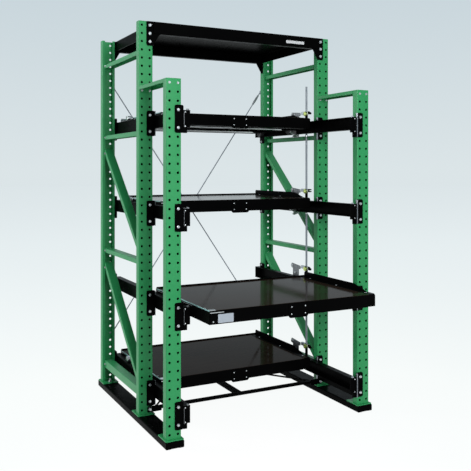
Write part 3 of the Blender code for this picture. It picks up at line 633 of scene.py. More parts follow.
def make_posts():
    front = mesh_of("front_post", post_bmesh(LOW_POST, True), GREEN)
    middle = mesh_of("middle_post", post_bmesh(HIGH_POST, True), GREEN)
    rear = mesh_of("rear_post", post_bmesh(HIGH_POST, False), GREEN)
    # Black paint as the boxed posts' second slot: painted shade on their inner walls
    for boxed in (front, middle):
        boxed.materials.append(BLACK)
    parts = bolts([(0, ANCHOR_BEHIND, 0)], (0, 0, 1), ANCHOR_SCALE)
    append(parts, bar((0, ANCHOR_BEHIND, 0), (0, ANCHOR_BEHIND, STUD_HEIGHT), STUD_RADIUS))
    anchor = mesh_of("anchor", parts, ZINC)
    for side, sign in HANDS:
        x = sign * POST_X
        for where, mesh, y, turn in (("front", front, 0, 0), ("middle", middle, MIDDLE_POST_Y, 0),
                                     ("rear", rear, REAR_POST_Y, math.pi)):
            node = f"post_{where}_{side}"
            put("punched_" + node, mesh, "frame", [node], (x, y, 0), turn)
            put(f"anchor_{where}_{side}", anchor, "frame", (), (x, y, 0), turn)


def make_bases():
    start, end = along_y("base_left")
    top, sheet = -FOOT_THICKNESS - GAP, BASE_SHEET / 2
    half, foot = FOOT_WIDTH / 2 - sheet, top - BASE_HEIGHT + sheet
    path = mirrored([(BASE_LIP - FOOT_WIDTH / 2, foot), (-half, foot), (-half, top - sheet)])
    inner, low = half - sheet, top - BASE_HEIGHT + EDGE
    bm = add_all(swept(fold(path, BASE_SHEET, BASE_BEND), "Y", start, end), *(
        block(-inner, inner, y, y + BASE_SHEET, low, top - sheet) for y in (start, end - BASE_SHEET)))
    mesh = mesh_of("base_beam", bm, BLACK)
    for side, sign in HANDS:
        at = (sign * POST_X, 0, 0)
        put("folded_base_" + side, mesh, "frame", ["base_" + side], at)


# Side frames
def make_braces():
    """Channels open below; a diagonal's sides are deeper, as its ends are upright."""
    names = [f"brace_level_{n}" for n in LEVELS] + ["brace_diagonal_upper", "brace_diagonal_lower"]
    depth = highest("brace_level_1_left").z - lowest("brace_level_1_left").z
    for name in names:
        low, high = (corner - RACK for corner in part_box(name + "_left"))
        width, run, rise = high - low
        slant, drop = 1.0, rise
        if "diagonal" in name:
            for _ in range(SLANT_ROUNDS):
                slant = math.hypot(run, rise - depth * slant) / run
            drop = depth * slant
        half, sheet = width / 2 - BRACE_SHEET / 2, BRACE_SHEET / 2
        path = mirrored([(-half, -drop), (-half, -sheet * slant)])
        bm = swept(fold(path, BRACE_SHEET), "Y", low.y, high.y)
        climb = rise - drop
        for corner in bm.verts:
            corner.co.z += low.z + drop + climb * (corner.co.y - low.y) / run
        mesh = mesh_of(name, bm, GREEN)
        tabs = [(y, low.z + drop / 2 + climb * (y - low.y) / run)
                for y in (low.y + BRACE_TAB_INSET, high.y - BRACE_TAB_INSET)]
        for side, sign in HANDS:
            node, at = f"{name}_{side}", (sign * POST_X, 0, 0)
            put("folded_" + node, mesh, "frame", [node], at)
            places = [(sign * width / 2, y, z) for y, z in tabs]
            heads = bolts(places, (sign, 0, 0), BRACE_BOLT_SCALE)
            piece("bolts_" + node, heads, ZINC, "frame", (), at)


def make_top_ties():
    start, end = along_y("top_tie_left")
    tab_low = LOW_POST - highest("top_tie_left").z + lowest("top_tie_left").z
    half, top = (POST_WEB - TIE_SHEET) / 2, LOW_POST - TIE_SHEET / 2
    path = mirrored([(-half, LOW_POST - TIE_FLANGE), (-half, top)])
    inner, back = half - TIE_SHEET, end - TIE_TAB
    bm = add_all(swept(fold(path, TIE_SHEET), "Y", start, end), *(
        block(-inner, inner, y, y + TIE_TAB, tab_low, LOW_POST - TIE_SHEET) for y in (start, back)))
    mesh = mesh_of("top_tie", bm, GREEN)
    z = LOW_POST - HOLE_PITCH / 2
    places = [(sign * HOLE_GAUGE / 2, y, z) for _, sign in HANDS for y in (0, back)]
    heads = mesh_of("bolts_top_tie", bolts(places, (0, -1, 0), TIE_BOLT_SCALE), ZINC)
    for side, sign in HANDS:
        at = (sign * POST_X, 0, 0)
        put("folded_top_tie_" + side, mesh, "frame", ["top_tie_" + side], at)
        put("bolts_top_tie_" + side, heads, "frame", (), at)


# Fixed top
def add_beam_flanges(bm, reach, front, back):
    """Two level flanges, a little within the beam's wall."""
    for z in (HIGH_POST - BEAM_HEIGHT, HIGH_POST - BEAM_SHEET):
        append(bm, block(-reach, reach, front, back, z + INLAY, z + BEAM_SHEET - INLAY))


def make_front_beam():
    front, flange_end = along_y("top_front_beam")
    back, half = MIDDLE_POST_Y - GAP, BEAM_SHEET / 2
    plate_front, plate_low = back - END_PLATE_SHEET, lowest("top_front_beam").z - RACK.z
    inner, outer = POST_INNER_X, POST_INNER_X + END_PLATE_REACH
    top, low = HIGH_POST, HIGH_POST - BEAM_HEIGHT
    right = [(outer, top), (outer, plate_low), (inner, plate_low), (inner - TOP_GUSSET, low)]
    corners = END_PLATE_CORNERS + END_PLATE_CORNERS[::-1]
    bm = swept(rounded(mirrored(right), corners), "Y", plate_front, back, EDGE)
    within = inner - BEAM_CLEARANCE
    face = [(front + BEAM_FLANGE, low + half), (front + half, low + half),
            (front + half, top - half), (front + BEAM_FLANGE, top - half)]
    append(bm, swept(fold(face, BEAM_SHEET, BEAM_SHEET), "X", -within, within - BEAM_END_CAP))
    add_beam_flanges(bm, within, plate_front, flange_end)
    piece("folded_top_front_beam", bm, BLACK, "frame", ["top_front_beam"])
    places = [(sign * (POST_X - HOLE_GAUGE / 2), plate_front, top - HOLE_PITCH * (k + 0.5))
              for _, sign in HANDS for k in range(3)]
    heads = bolts(places, (0, -1, 0), TOP_BOLT_SCALE)
    piece("bolts_top_front_beam", heads, ZINC, "frame")
    outline = plate(*TOP_LABEL_X, *(top - drop for drop in TOP_LABEL_DROPS), TOP_LABEL_CORNER)
    label = swept(outline, "Y", front - TOP_LABEL_PROUD, front + SUNK, THIN_EDGE)
    piece("blank_label_top", label, LABEL, "frame")


def make_rear_beam():
    front, back = along_y("top_rear_beam")
    reach, foot = highest("top_rear_beam").x, lowest("top_rear_beam").z - RACK.z
    right = [(reach, HIGH_POST), (reach, foot), (reach - TOP_GUSSET, HIGH_POST - BEAM_HEIGHT)]
    bm = swept(mirrored(right), "Y", back - BEAM_SHEET, back, EDGE)
    add_beam_flanges(bm, reach, front, back)
    for _, sign in HANDS:
        append(bm, block(sign * reach, sign * (reach - BEAM_SHEET), front, back, foot, HIGH_POST))
    piece("folded_top_rear_beam", bm, BLACK, "frame", ["top_rear_beam"])


def make_top_panel():
    half, foot = highest("top_panel").x - BEAM_SHEET / 2, lowest("top_panel").z - RACK.z
    path = mirrored([(-half, foot), (-half, HIGH_POST - BEAM_SHEET / 2)])
    bm = swept(fold(path, BEAM_SHEET, PANEL_BEND), "Y", *along_y("top_panel"))
    piece("folded_top_panel", bm, BLACK, "frame", ["top_panel"])


# Rails
def rail_bmesh(sign, skirted=False):
    """Channel with its end stops and bracket plates, and a skirt where asked."""
    start, end = along_y("rail_1_left")
    low, high, half = RAIL_LOW, RAIL_HIGH, RAIL_SHEET / 2
    inner, outer = sign * RAIL_INNER_X, sign * (RAIL_OUTER_X - half)
    path = [(inner, low + half), (outer, low + half), (outer, high - half), (inner, high - half)]
    web, foot = sign * (RAIL_OUTER_X - RAIL_SHEET), inner + sign * STOP_FOOT_INSET
    top, stop_start, stop_end = high - STOP_TOP_INSET, start + STOP_INLAY, end - STOP_INLAY
    stop = [(inner, top), (inner, STOP_LOW), (foot, STOP_LOW), (foot, -BRACKET_DROP),
            (web, -BRACKET_DROP), (web, top)]
    bm = add_all(
        swept(fold(path, RAIL_SHEET, RAIL_BEND), "Y", start, end),
        swept(stop, "Y", stop_start, start + STOP_THICKNESS, EDGE),
        block(inner, web, end - STOP_THICKNESS, stop_end, low + half, high - half))
    reach = sign * (POST_INNER_X + BRACKET_REACH)
    bracket = plate(web, reach, -BRACKET_DROP, BRACKET_TOP, BRACKET_CORNER)
    for back in (-GAP, MIDDLE_POST_Y - GAP):
        append(bm, swept(bracket, "Y", back - BRACKET_SHEET, back, EDGE))
    bracket = plate(end - REAR_BRACKET_LENGTH, end, -BRACKET_DROP, BRACKET_TOP, BRACKET_CORNER)
    append(bm, swept(bracket, "X", outer, sign * (POST_INNER_X - GAP), EDGE))
    if skirted:
        outer = sign * RAIL_OUTER_X
        append(bm, block(web, outer, stop_start, MIDDLE_POST_Y - GAP, -BRACKET_DROP, low + half))
    return bm


def rail_bolts(sign):
    start, end = along_y("rail_1_left")
    front = [(sign * (POST_X - HOLE_GAUGE / 2), post_y - GAP - BRACKET_SHEET, z)
             for post_y in (0, MIDDLE_POST_Y) for z in (0, BOLT_SPACING)]
    x, y = sign * (RAIL_OUTER_X - RAIL_SHEET / 2), end - REAR_BRACKET_LENGTH / 2
    rear = [(x, y, z) for z in REAR_BOLTS_Z]
    screws = [(sign * STOP_SCREW_X, start, z) for z in STOP_SCREWS_Z]
    return add_all(bolts(front, (0, -1, 0), RAIL_BOLT_SCALE), bolts(rear, (-sign, 0, 0), REAR_BOLT_SCALE),
                   bolts(screws, (0, -1, 0), SCREW_SCALE, button))


def rail_shims(side, sign):
    """Bright plate edges ahead of the brackets, and the tab on the front stop."""
    half, x = SHIM_SHEETS[side] / 2, sign * SHIM_X
    bottom, top = SHIM_INSET - BRACKET_DROP, BRACKET_TOP - SHIM_INSET
    at_front = (bottom, top) if sign > 0 else LEFT_SHIM_Z
    stretches = [(0, *at_front), (MIDDLE_POST_Y, bottom, RAIL_LOW), (MIDDLE_POST_Y, RAIL_HIGH, top)]
    bm = bmesh.new()
    for post_y, low, high in stretches:
        back = post_y - GAP - BRACKET_SHEET
        append(bm, block(x - half, x + half, back - SHIM_DEPTH, back + SUNK, low, high, EDGE / 2))
    width, depth, height = TAB_SIZE
    start = along_y("rail_1_left")[0]
    x = sign * (RAIL_INNER_X + width)
    append(bm, block(x - width / 2, x + width / 2, start, start + depth, RAIL_HIGH - SUNK,
                     RAIL_HIGH + height))
    return bm


def make_rails():
    for side, sign in HANDS:
        plain = mesh_of("rail_" + side, rail_bmesh(sign), BLACK)
        # Painted shade: the same plate edges take the darker hook zinc on the left and the lighter grey
        # zinc on the right
        plating = GREY_ZINC if sign > 0 else HOOK_ZINC
        rows = fittings(("rail_bolts", rail_bolts(sign), ZINC, "zinc"),
                        ("rail_shims", rail_shims(side, sign), plating, "zinc"))
        for level in LEVELS:
            at = (0, 0, level_height(level))
            tag = f"{level}_{side}"
            skirted = tag == SKIRTED_RAIL
            rail = mesh_of("rail_skirted", rail_bmesh(sign, True), BLACK) if skirted else plain
            put("folded_rail_" + tag, rail, "frame", ["rail_" + tag], at)
            put_fittings(rows, tag, "frame", at)


# Shelves, drawn with y from the frame's front and z from the level
FRONT_SCREWS = [(x, -FRONT_PLATE_SHEET, z) for x in (-0.045, 0.045) for z in (0.0575, 0.098)]
LEDGE_SCREWS = [(SHELF_X - 0.026, y, SHELF_HIGH) for y in (0.070, 0.375, 0.681)]
APRON_BOLT = (-0.531, 0, 0.062)
LEFT_SCREW = (0.010 - SHELF_X, 0.079, SHELF_HIGH)
SCREW_SCALES = {"front": 0.5, "ledge": 0.7, "apron": 0.42, "left": 0.6}

# Trim and painted highlights as blocks and a rounded plate: x, y and z from and to, then the edge
LINE_END = SHELF_DEPTH * 0.98
# Thin bright zinc lines and a corner plate at the left: partly trim, partly painted highlight and glint
FRONT_LINE = (-0.550, -0.468, -0.0008, SUNK, 0.108, 0.112, 0.0003)
SIDE_LINE = (-SHELF_X - 0.0006, SUNK - SHELF_X, GUARD_FULL, LINE_END, 0.1095, 0.1115, 0.0002)
# Painted highlight along the top outer edge of the shelf's left wall, drawn in the teal coat
EDGE_HIGHLIGHT = (-SHELF_X - 0.0006, 0.0025 - SHELF_X, 0.004, LINE_END, 0.1168, 0.1225, THIN_EDGE)
GLINT_CORNER_TRIM = plate(0.001 - SHELF_X, 0.038 - SHELF_X, 0.001, 0.031, 0.003)
GLINT_CORNER_HEIGHTS = (SHELF_HIGH - 0.0005, SHELF_HIGH + 0.0018)


def shelf_bmesh():
    """Walls, guard, ledge, apron, bearers and front plate."""
    rear, bottom, top, sheet = SHELF_DEPTH, SHELF_LOW, SHELF_HIGH, SHELF_SHEET
    half, cut, side = sheet / 2, END_BLOCK_CUT, SHELF_X - sheet
    block_x, block_y = SHELF_X - END_BLOCK_WIDTH, END_BLOCK_SETBACK
    deck_low = lowest("shelf_1_deck").z - RACK.z - level_height(1) - GAP
    flange, within, back = SHELF_X - SHELF_FLANGE, SHELF_X - half, rear - half
    start, left, high = block_y + half, block_x - half, top - END_BLOCK_DROP
    guard = [(block_y, bottom), (rear, bottom), (rear, top + GUARD_RISE), (GUARD_FULL, top + GUARD_RISE),
             (GUARD_START, top), (block_y + cut, top), (block_y, top - cut)]
    ledge = [(flange, start), (within - cut, start), (within, block_y + cut), (within, back),
             (flange, back)]
    apron = [(SHELF_LIP, bottom + half), (half, bottom + half), (half, top - half)]
    face = [(left, bottom), (SHELF_X, bottom), (SHELF_X, high - cut), (SHELF_X - cut, high), (left, high)]
    rear_wall = [(rear - SHELF_LIP, bottom + half), (back, bottom + half), (back, top + REAR_RIM_RISE)]
    bm = add_all(
        swept(plate(0, rear, bottom, top, WALL_CORNER), "X", -SHELF_X, -side, EDGE / 2),
        *(block(-within, -flange, half, back, z, z + sheet) for z in (bottom + INLAY, deck_low - sheet)),
        swept(rounded(guard, GUARD_CORNERS), "X", SHELF_X - GUARD_SHEET, SHELF_X, EDGE / 2),
        swept(ledge, "Z", top - LEDGE_SHEET, top - INLAY, EDGE),
        block(flange, within, start, back, bottom + INLAY, bottom + sheet),
        swept(fold(apron, sheet), "X", -SHELF_X, block_x),
        block(block_x - sheet, block_x, half, block_y + sheet, bottom, top - END_WALL_DROP),
        swept(rounded(face, END_BLOCK_CORNERS), "Y", block_y, block_y + sheet, EDGE),
        swept(fold(rear_wall, sheet), "X", -side, side))
    low, high = deck_low - BEARER_DEPTH, deck_low - half
    for share in BEARER_SHARES:
        near, far = share * rear + half, share * rear + BEARER_WIDTH - half
        path = [(near, low), (near, high), (far, high), (far, low)]
        append(bm, swept(fold(path, sheet), "X", -side, side))
    outline = rounded(FRONT_PLATE_OUTLINE, FRONT_PLATE_CORNERS)
    append(bm, swept(outline, "Y", -FRONT_PLATE_SHEET, SUNK, EDGE / 2))
    return bm


def shelf_screws():
    """Screws of the front plate, the ledge and the left wall, and the apron's bolt."""
    ahead, up = (0, -1, 0), (0, 0, 1)
    return add_all(bolts(FRONT_SCREWS, ahead, SCREW_SCALES["front"], button),
                   bolts(LEDGE_SCREWS, up, SCREW_SCALES["ledge"], button),
                   bolts([APRON_BOLT], ahead, SCREW_SCALES["apron"]),
                   bolts([LEFT_SCREW], up, SCREW_SCALES["left"], button))


def shelf_trim_and_highlights():
    """Bright zinc front line, corner piece and side line at the left, partly trim and partly painted
    highlight along the shelf's edges.
    """
    corner = swept(GLINT_CORNER_TRIM, "Z", *GLINT_CORNER_HEIGHTS, THIN_EDGE)
    return add_all(block(*FRONT_LINE), corner, block(*SIDE_LINE))


def shelf_catch():
    """Two rounded zinc links with a screw, above the left rail."""
    low, high = CATCH_HEIGHTS
    bm = bmesh.new()
    for start, end, lift, corner, far, near, edge in CATCH_LINKS:
        outline = plate(CATCH_Y + CATCH_LENGTH * start, CATCH_Y + CATCH_LENGTH * end,
                        low + lift, high + lift, (high - low) * corner, CATCH_STEPS)
        append(bm, swept(outline, "X", -SHELF_X - far, -SHELF_X - near, edge))
    place = (-SHELF_X - CATCH_LINKS[0][4], CATCH_Y + CATCH_LENGTH * CATCH_SCREW_SHARE, (low + high) / 2)
    append(bm, bolts([place], (-1, 0, 0), CATCH_SCREW_SCALE, button))
    return bm


def wheel_bmesh(half):
    """Two wheels about X, near the ends of a shaft of this half length."""
    low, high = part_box("shelf_1_wheels_front")
    inner, outer = RAIL_INNER_X + WHEEL_SIDE_ROOM, half - WHEEL_END_ROOM
    face = [((high.z - low.z) / 2 - inset, depth) for inset, depth in WHEEL_FACE]
    bm = bmesh.new()
    for sign in (-1, 1):
        profile = [(r, sign * (inner + h)) for r, h in both_ends(face, outer - inner)]
        append(bm, turned(profile, WHEEL_SIDES), facing((0, 0, 0), (1, 0, 0)))
    return bm


def shelf_place(level):
    """Origin of a shelf's drawing."""
    front = lowest(f"shelf_{level}_frame").y + FRONT_PLATE_ROOM - RACK.y
    return (0, front, level_height(level))


def make_shelves():
    folded = mesh_of("shelf_frame", shelf_bmesh(), BLACK)
    # The trim row is partly painted highlight, the teal edge row wholly so
    rows = fittings(
        ("shelf_screws", shelf_screws(), ZINC, "zinc"), ("shelf_trim_and_highlights", shelf_trim_and_highlights(), ZINC, "zinc"),
        ("shelf_edge_highlight", block(*EDGE_HIGHLIGHT), TEAL_HIGHLIGHT, "zinc"), ("shelf_catch", shelf_catch(), ZINC, "zinc"))
    low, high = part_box("shelf_1_deck")
    deck = block(low.x, high.x, 0, high.y - low.y, 0, high.z - low.z, DECK_EDGE)
    deck = mesh_of("shelf_deck", deck, DECK)
    half = highest("shelf_1_wheels_front").x
    wheels = mesh_of("wheels", wheel_bmesh(half), NYLON)
    shaft = mesh_of("shaft", bar((-half, 0, 0), (half, 0, 0), SHAFT_RADIUS, ROUND_SIDES), ZINC)
    for level in LEVELS:
        body, at = f"shelf_{level}", shelf_place(level)
        put("folded_" + body, folded, body, [body + "_frame"], at)
        put_fittings(rows, level, body, at)
        low = lowest(body + "_deck") - RACK
        put(f"deck_sheet_{level}", deck, body, [body + "_deck"], (0, low.y, low.z))
        for where in ("front", "rear"):
            node, tag = f"{body}_wheels_{where}", f"_{level}_{where}"
            centre = (lowest(node) + highest(node)) / 2 - RACK
            put("wheels" + tag, wheels, "wheelset" + tag, [node], centre)
            put("shaft" + tag, shaft, "wheelset" + tag, (), centre)
    label = swept(plate(*SHELF_LABEL), "Y", -SHELF_LABEL_PROUD, SUNK, THIN_EDGE)
    piece("blank_label_3", label, PLATE_GREY, "shelf_3", (), shelf_place(3))


# Interlock; heights are from the level, and the hooks' outlines from HOOK_Y and from the rail's inside
ROD_START, ROD_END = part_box("interlock_rod")
ROD_X = (ROD_START.x + ROD_END.x) / 2
ROD_Y = (ROD_START.y + ROD_END.y) / 2 - RACK.y
ROD_RADIUS = (ROD_END.x - ROD_START.x) / 2
ROD_EXTRA_RADIUS = 0.0010
ARM_WALL = 0.002
ARM_LOW = 0.157
ARM_HIGH = 0.179
ARM_OVERLAP = 0.002
ARM_CORNERS = (0.002, 0.004, 0.004, 0.002)
FORKED_LEVEL = 2
FORK_SLOT = (0.165, 0.171)
NOSE_BACK = 0.028
NOSE_TIP = (-0.014, -0.001)
NOSE_INSET = 0.001
NOSE_SIDE_INSET = 0.0005
NOSE_CORNERS = (0.006, 0.001, 0.001, 0.006)
KNOB_DROP = 0.006
KNOB_SIDES = 28
KNOB_PROFILE = ((0.0060, 0), (0.0145, 0), (0.0160, 0.0015), (0.0160, 0.0042), (0.0152, 0.0047),
                (0.0160, 0.0052), (0.0160, 0.0085), (0.0145, 0.0100), (0.0070, 0.0105), (0.0062, 0.0091))
SLEEVE_RADIUS = 0.0098
SLEEVE_ROOM = 0.0005
LUG_DROP = 0.020
LUG_HALF = 0.007
LUG_SUNK = 0.002
COLLAR_HEIGHT = 0.010
COLLAR_WALL = 0.0022
HOOK_Y = 0.721
HOOK_SHEET = 0.005
HOOK_OUTLINE = ((-0.038, -0.003), (-0.004, -0.003), (0.038, 0.020), (0.038, 0.150), (0.060, 0.150),
                (0.060, 0.185), (-0.060, 0.174), (-0.060, 0.150), (-0.038, 0.150))
HOOK_CORNERS = (0.006, 0.004, 0.006, 0.004, 0.006, 0.010, 0.006, 0.006, 0.004)
HOOK_BOLT_Z = 0.120
HOOK_BOLT_SCALE = 0.8
PIVOT_YZ = (HOOK_Y + 0.044, 0.1675)
PIVOT_RADIUS = 0.0130
PIVOT_SHEET = 0.004
SMALL_HOOK_Y = (0.640, 0.648)
SMALL_HOOK_OUTLINE = ((-0.052, 0.030), (-0.052, 0.044), (-0.001, 0.044), (-0.001, 0.0177),
                      (0.020, 0.0177), (0.020, 0.0057), (-0.016, -0.0063), (-0.032, -0.0023),
                      (-0.020, 0.0157))
SMALL_HOOK_CORNERS = (0.003, 0.003, 0.001, 0.001, 0.002, 0.004, 0.006, 0.004, 0.006)


def on_rod(low, high, radius):
    """A round bar about the rod's axis."""
    return bar((ROD_X, ROD_Y, low), (ROD_X, ROD_Y, high), radius, ROUND_SIDES)


def arm_parts(level):
    """The arm's block, its nose or fork with the rod's bush, and its knob."""
    front, back = along_y(f"interlock_arm_{level}")
    inner, outer = ROD_X - ROD_RADIUS - ARM_WALL, ROD_X + ROD_RADIUS + ARM_WALL
    nose_back, middle = ROD_Y - NOSE_BACK, (ARM_LOW + ARM_HIGH) / 2
    start = nose_back - ARM_OVERLAP
    outline = [(start, ARM_LOW), (back, ARM_LOW), (back, ARM_HIGH), (start, ARM_HIGH)]
    grey = swept(rounded(outline, ARM_CORNERS), "X", inner, outer, EDGE)
    dark = bmesh.new()
    if level == FORKED_LEVEL:
        for low, high in ((ARM_LOW, FORK_SLOT[0]), (FORK_SLOT[1], ARM_HIGH)):
            append(dark, block(inner, outer, front, nose_back, low, high))
    else:
        low, high = (middle + z for z in NOSE_TIP)
        nose = [(front, low), (nose_back, ARM_LOW + NOSE_INSET), (nose_back, ARM_HIGH - NOSE_INSET),
                (front, high)]
        append(dark, swept(rounded(nose, NOSE_CORNERS), "X", inner + NOSE_SIDE_INSET,
                           outer - NOSE_SIDE_INSET, EDGE))
    append(dark, on_rod(ARM_LOW - SLEEVE_ROOM, ARM_HIGH + SLEEVE_ROOM, SLEEVE_RADIUS - GAP))
    knob = turned(KNOB_PROFILE, KNOB_SIDES)
    place = facing((inner + GAP, ROD_Y, middle - KNOB_DROP), (-1, 0, 0))
    bmesh.ops.transform(knob, matrix=place, verts=knob.verts[:])
    return grey, dark, knob


def rail_side_parts():
    """The rod's sleeve, the hook plate, and its pivot and bolts, on a right rail."""
    web, low = RAIL_OUTER_X, RAIL_HIGH - LUG_DROP
    sleeve = on_rod(low, ARM_LOW - SLEEVE_ROOM, SLEEVE_RADIUS)
    lug = block(web - LUG_SUNK, ROD_X, ROD_Y - LUG_HALF, ROD_Y + LUG_HALF, low, RAIL_HIGH - SLEEVE_ROOM)
    append(sleeve, lug)
    outline = rounded([(HOOK_Y + y, z) for y, z in HOOK_OUTLINE], HOOK_CORNERS)
    hook = swept(outline, "X", web, web + HOOK_SHEET, EDGE)
    heads = bar((web, *PIVOT_YZ), (web - PIVOT_SHEET, *PIVOT_YZ), PIVOT_RADIUS, KNOB_SIDES)
    places = [(web - PIVOT_SHEET + SUNK, *PIVOT_YZ), (web, HOOK_Y, HOOK_BOLT_Z)]
    append(heads, bolts(places, (-1, 0, 0), HOOK_BOLT_SCALE))
    return sleeve, hook, heads


def small_hook():
    """Bright hook inside a right rail, and the rod's lower collar."""
    outline = rounded([(RAIL_INNER_X + x, z) for x, z in SMALL_HOOK_OUTLINE], SMALL_HOOK_CORNERS)
    collar = on_rod(0, COLLAR_HEIGHT, ROD_RADIUS + COLLAR_WALL)
    return add_all(swept(outline, "Y", *SMALL_HOOK_Y, EDGE), collar)


def make_interlock():
    rod = on_rod(ROD_START.z - RACK.z, ROD_END.z - RACK.z, ROD_RADIUS + ROD_EXTRA_RADIUS)
    piece("lift_rod", rod, ROD_GREY, "interlock", ["interlock_rod"])
    sleeve, hook, heads = rail_side_parts()
    rows = fittings(("rod_sleeve", sleeve, BLACK, "black_paint"), ("rod_hook", hook, HOOK_ZINC, "zinc"),
                    ("hook_bolts", heads, ZINC, "zinc"), ("rail_hook", small_hook(), ZINC, "zinc"))
    for level in LEVELS:
        at = (0, 0, level_height(level))
        grey, dark, knob = arm_parts(level)
        node = f"interlock_arm_{level}"
        piece(f"arm_block_{level}", grey, GREY_ZINC, "interlock", [node], at)
        piece(f"arm_nose_{level}", dark, BLACK, "interlock", (), at)
        piece(f"arm_knob_{level}", knob, YELLOW_ZINC, "interlock", (), at)
        put_fittings(rows, level, "frame", at)


# Ties at the floor and behind
LOW_BAR = (0.020, 0.036)
LOW_BAR_DEPTH = 0.030
LOW_BAR_EDGE = 0.0015
LOW_BAR_FRONT = MIDDLE_POST_Y - 0.008
LOW_BAR_REAR = REAR_POST_Y - 0.010 - LOW_BAR_DEPTH
LOW_STAY = (0.056, 0.010)
GUSSET_SHEET = 0.0057
GUSSET_REACHES = (0.035, -0.057)
GUSSET_HEIGHTS = (0.008, 0.044)
GUSSET_CORNER = 0.004
STRUT_WIDTH = 0.010
STRUT_INSET = 0.030
BACK_ROD_RADIUS = 0.004
BACK_ROD_SIDES = 16
BACK_ROD_OUTSET = 0.005
BACK_BOLT_SCALE = 0.55
BACK_ROD_ENDS = (2.0952, 0.3048), (2.1048, 0.3144)
BACK_LUG = (0.040, 0.030)
BACK_LUG_CORNER = 0.008
TURNBUCKLE_AT = (0.965, 0.035)
TURNBUCKLE_LENGTH = 0.090
TURNBUCKLE_FLATNESS = 0.42
TURNBUCKLE_END = [(0.0052, 0), (0.0072, 0.004), (0.0072, 0.018), (0.0088, 0.024)]


def make_low_ties():
    reach, face = POST_INNER_X - GAP, MIDDLE_POST_Y - GAP
    low, high = LOW_BAR
    front_end = LOW_BAR_FRONT + LOW_BAR_DEPTH
    bm = block(-reach, reach, LOW_BAR_FRONT, front_end, low, high, LOW_BAR_EDGE)
    for sign in (-1, 1):
        ends = [sign * (POST_INNER_X + x) for x in GUSSET_REACHES]
        outline = plate(*ends, *GUSSET_HEIGHTS, GUSSET_CORNER)
        append(bm, swept(outline, "Y", face - GUSSET_SHEET, face, EDGE))
    width, sheet = LOW_STAY
    append(bm, block(-width / 2, width / 2, front_end - SUNK, LOW_BAR_REAR - GAP, low, low + sheet))
    piece("low_tie_bar_front", bm, BLACK, "frame", ["low_tie_front"])
    bm = block(-reach, reach, LOW_BAR_REAR, LOW_BAR_REAR + LOW_BAR_DEPTH, low, high, LOW_BAR_EDGE)
    y0, y1 = LOW_BAR_REAR + SUNK, front_end + GAP
    for sign in (-1, 1):
        x0, x1 = sign * (width / 2 + STRUT_WIDTH), sign * (reach - STRUT_INSET)
        across = sign * STRUT_WIDTH
        outline = [(x0, y0), (x0 + across, y0), (x1 + across, y1), (x1, y1)]
        append(bm, swept(outline, "Z", low, low + sheet, EDGE))
    piece("low_tie_bar_rear", bm, BLACK, "frame", ["low_tie_rear"])
    x = POST_X - HOLE_GAUGE / 2
    heads = bolts([(sign * x, face - GUSSET_SHEET, HOLE_PITCH / 2) for sign in (-1, 1)], (0, -1, 0))
    piece("bolts_low_tie", heads, ZINC, "frame")


def make_back_rods():
    """Crossed round rods with lugs behind the rear posts, and their turnbuckles."""
    inner, radius = POST_INNER_X + BACK_ROD_OUTSET, BACK_ROD_RADIUS
    width, height = BACK_LUG
    across = Vector((0, 1, 0))
    for index, (name, falls_to) in enumerate((("back_rod_first", 1), ("back_rod_second", -1))):
        rod_y = REAR_POST_Y + GAP + index * (GAP + 2 * radius) + radius
        top, bottom = BACK_ROD_ENDS[index]
        ends, face = ((-falls_to, top), (falls_to, bottom)), rod_y + radius / 2
        start, end = (Vector((side * inner, rod_y, z)) for side, z in ends)
        bm = bar(start, end, radius, BACK_ROD_SIDES)
        for side, z in ends:
            outline = plate(side * POST_INNER_X, side * (inner + width), z - height / 2, z + height / 2,
                            BACK_LUG_CORNER)
            append(bm, swept(outline, "Y", REAR_POST_Y + GAP, face, EDGE))
        piece(name + "_round", bm, ROD_GREY, "frame", [name])
        places = [(side * (inner + width / 2), face, z) for side, z in ends]
        bm = bolts(places, (0, 1, 0), BACK_BOLT_SCALE)
        along = (end - start).normalized()
        foot = start.lerp(end, TURNBUCKLE_AT[index]) - along * TURNBUCKLE_LENGTH / 2
        body = turned(both_ends(TURNBUCKLE_END, TURNBUCKLE_LENGTH), ROUND_SIDES)
        bmesh.ops.scale(body, vec=(1, TURNBUCKLE_FLATNESS, 1), verts=body.verts[:])
        turn = Matrix((along.cross(across) * -1, across, along)).transposed().to_4x4()
        append(bm, body, Matrix.Translation(foot) @ turn)
        piece(name + "_fittings", bm, HOOK_ZINC, "frame")


# Stage, lights and camera
FLOOR_REACH = 60.0
FLOOR_SIDES = 48
FLOOR_CENTRE = (-0.55, -1.07)
FLOOR_FADE = 1.6
FLOOR_COLOURS = ((0.681, 0.749, 0.773), (0.775, 0.839, 0.855), (0.905, 0.939, 0.930),
                 (0.962, 0.967, 0.967))
FLOOR_POSITIONS = (0.0, 0.12, 0.42, 0.75)
FLOOR_GLOW = 0.90
FLOOR_PAINT = (0.62, 0.64, 0.65)
SKY_LOW = (0.711, 0.780, 0.802)
SKY_HIGH = (0.585, 0.672, 0.716)
SKY_END = 0.229
AMBIENT = (0.88, 0.94, 1.0)
AMBIENT_STRENGTH = 0.24
CLIP_END = 200
# Softboxes: name, place, what they are aimed at, side and power
SOFTBOXES = (("front", (-0.9, -5.2, 2.4), (0, 0, 1.2), 1.6, 160),
             ("overhead", (-0.4, -0.6, 5.4), (0, 0.2, 1.0), 2.6, 44),
             ("left", (-6.0, 4.0, 3.0), (0, 0.2, 1.5), 2.2, 230))


def maths(tree, operation, first, second):
    """A calculation with two values."""
    made = add_node(tree, "Math", {0: first, 1: second})
    made.operation = operation
    return made.outputs[0]


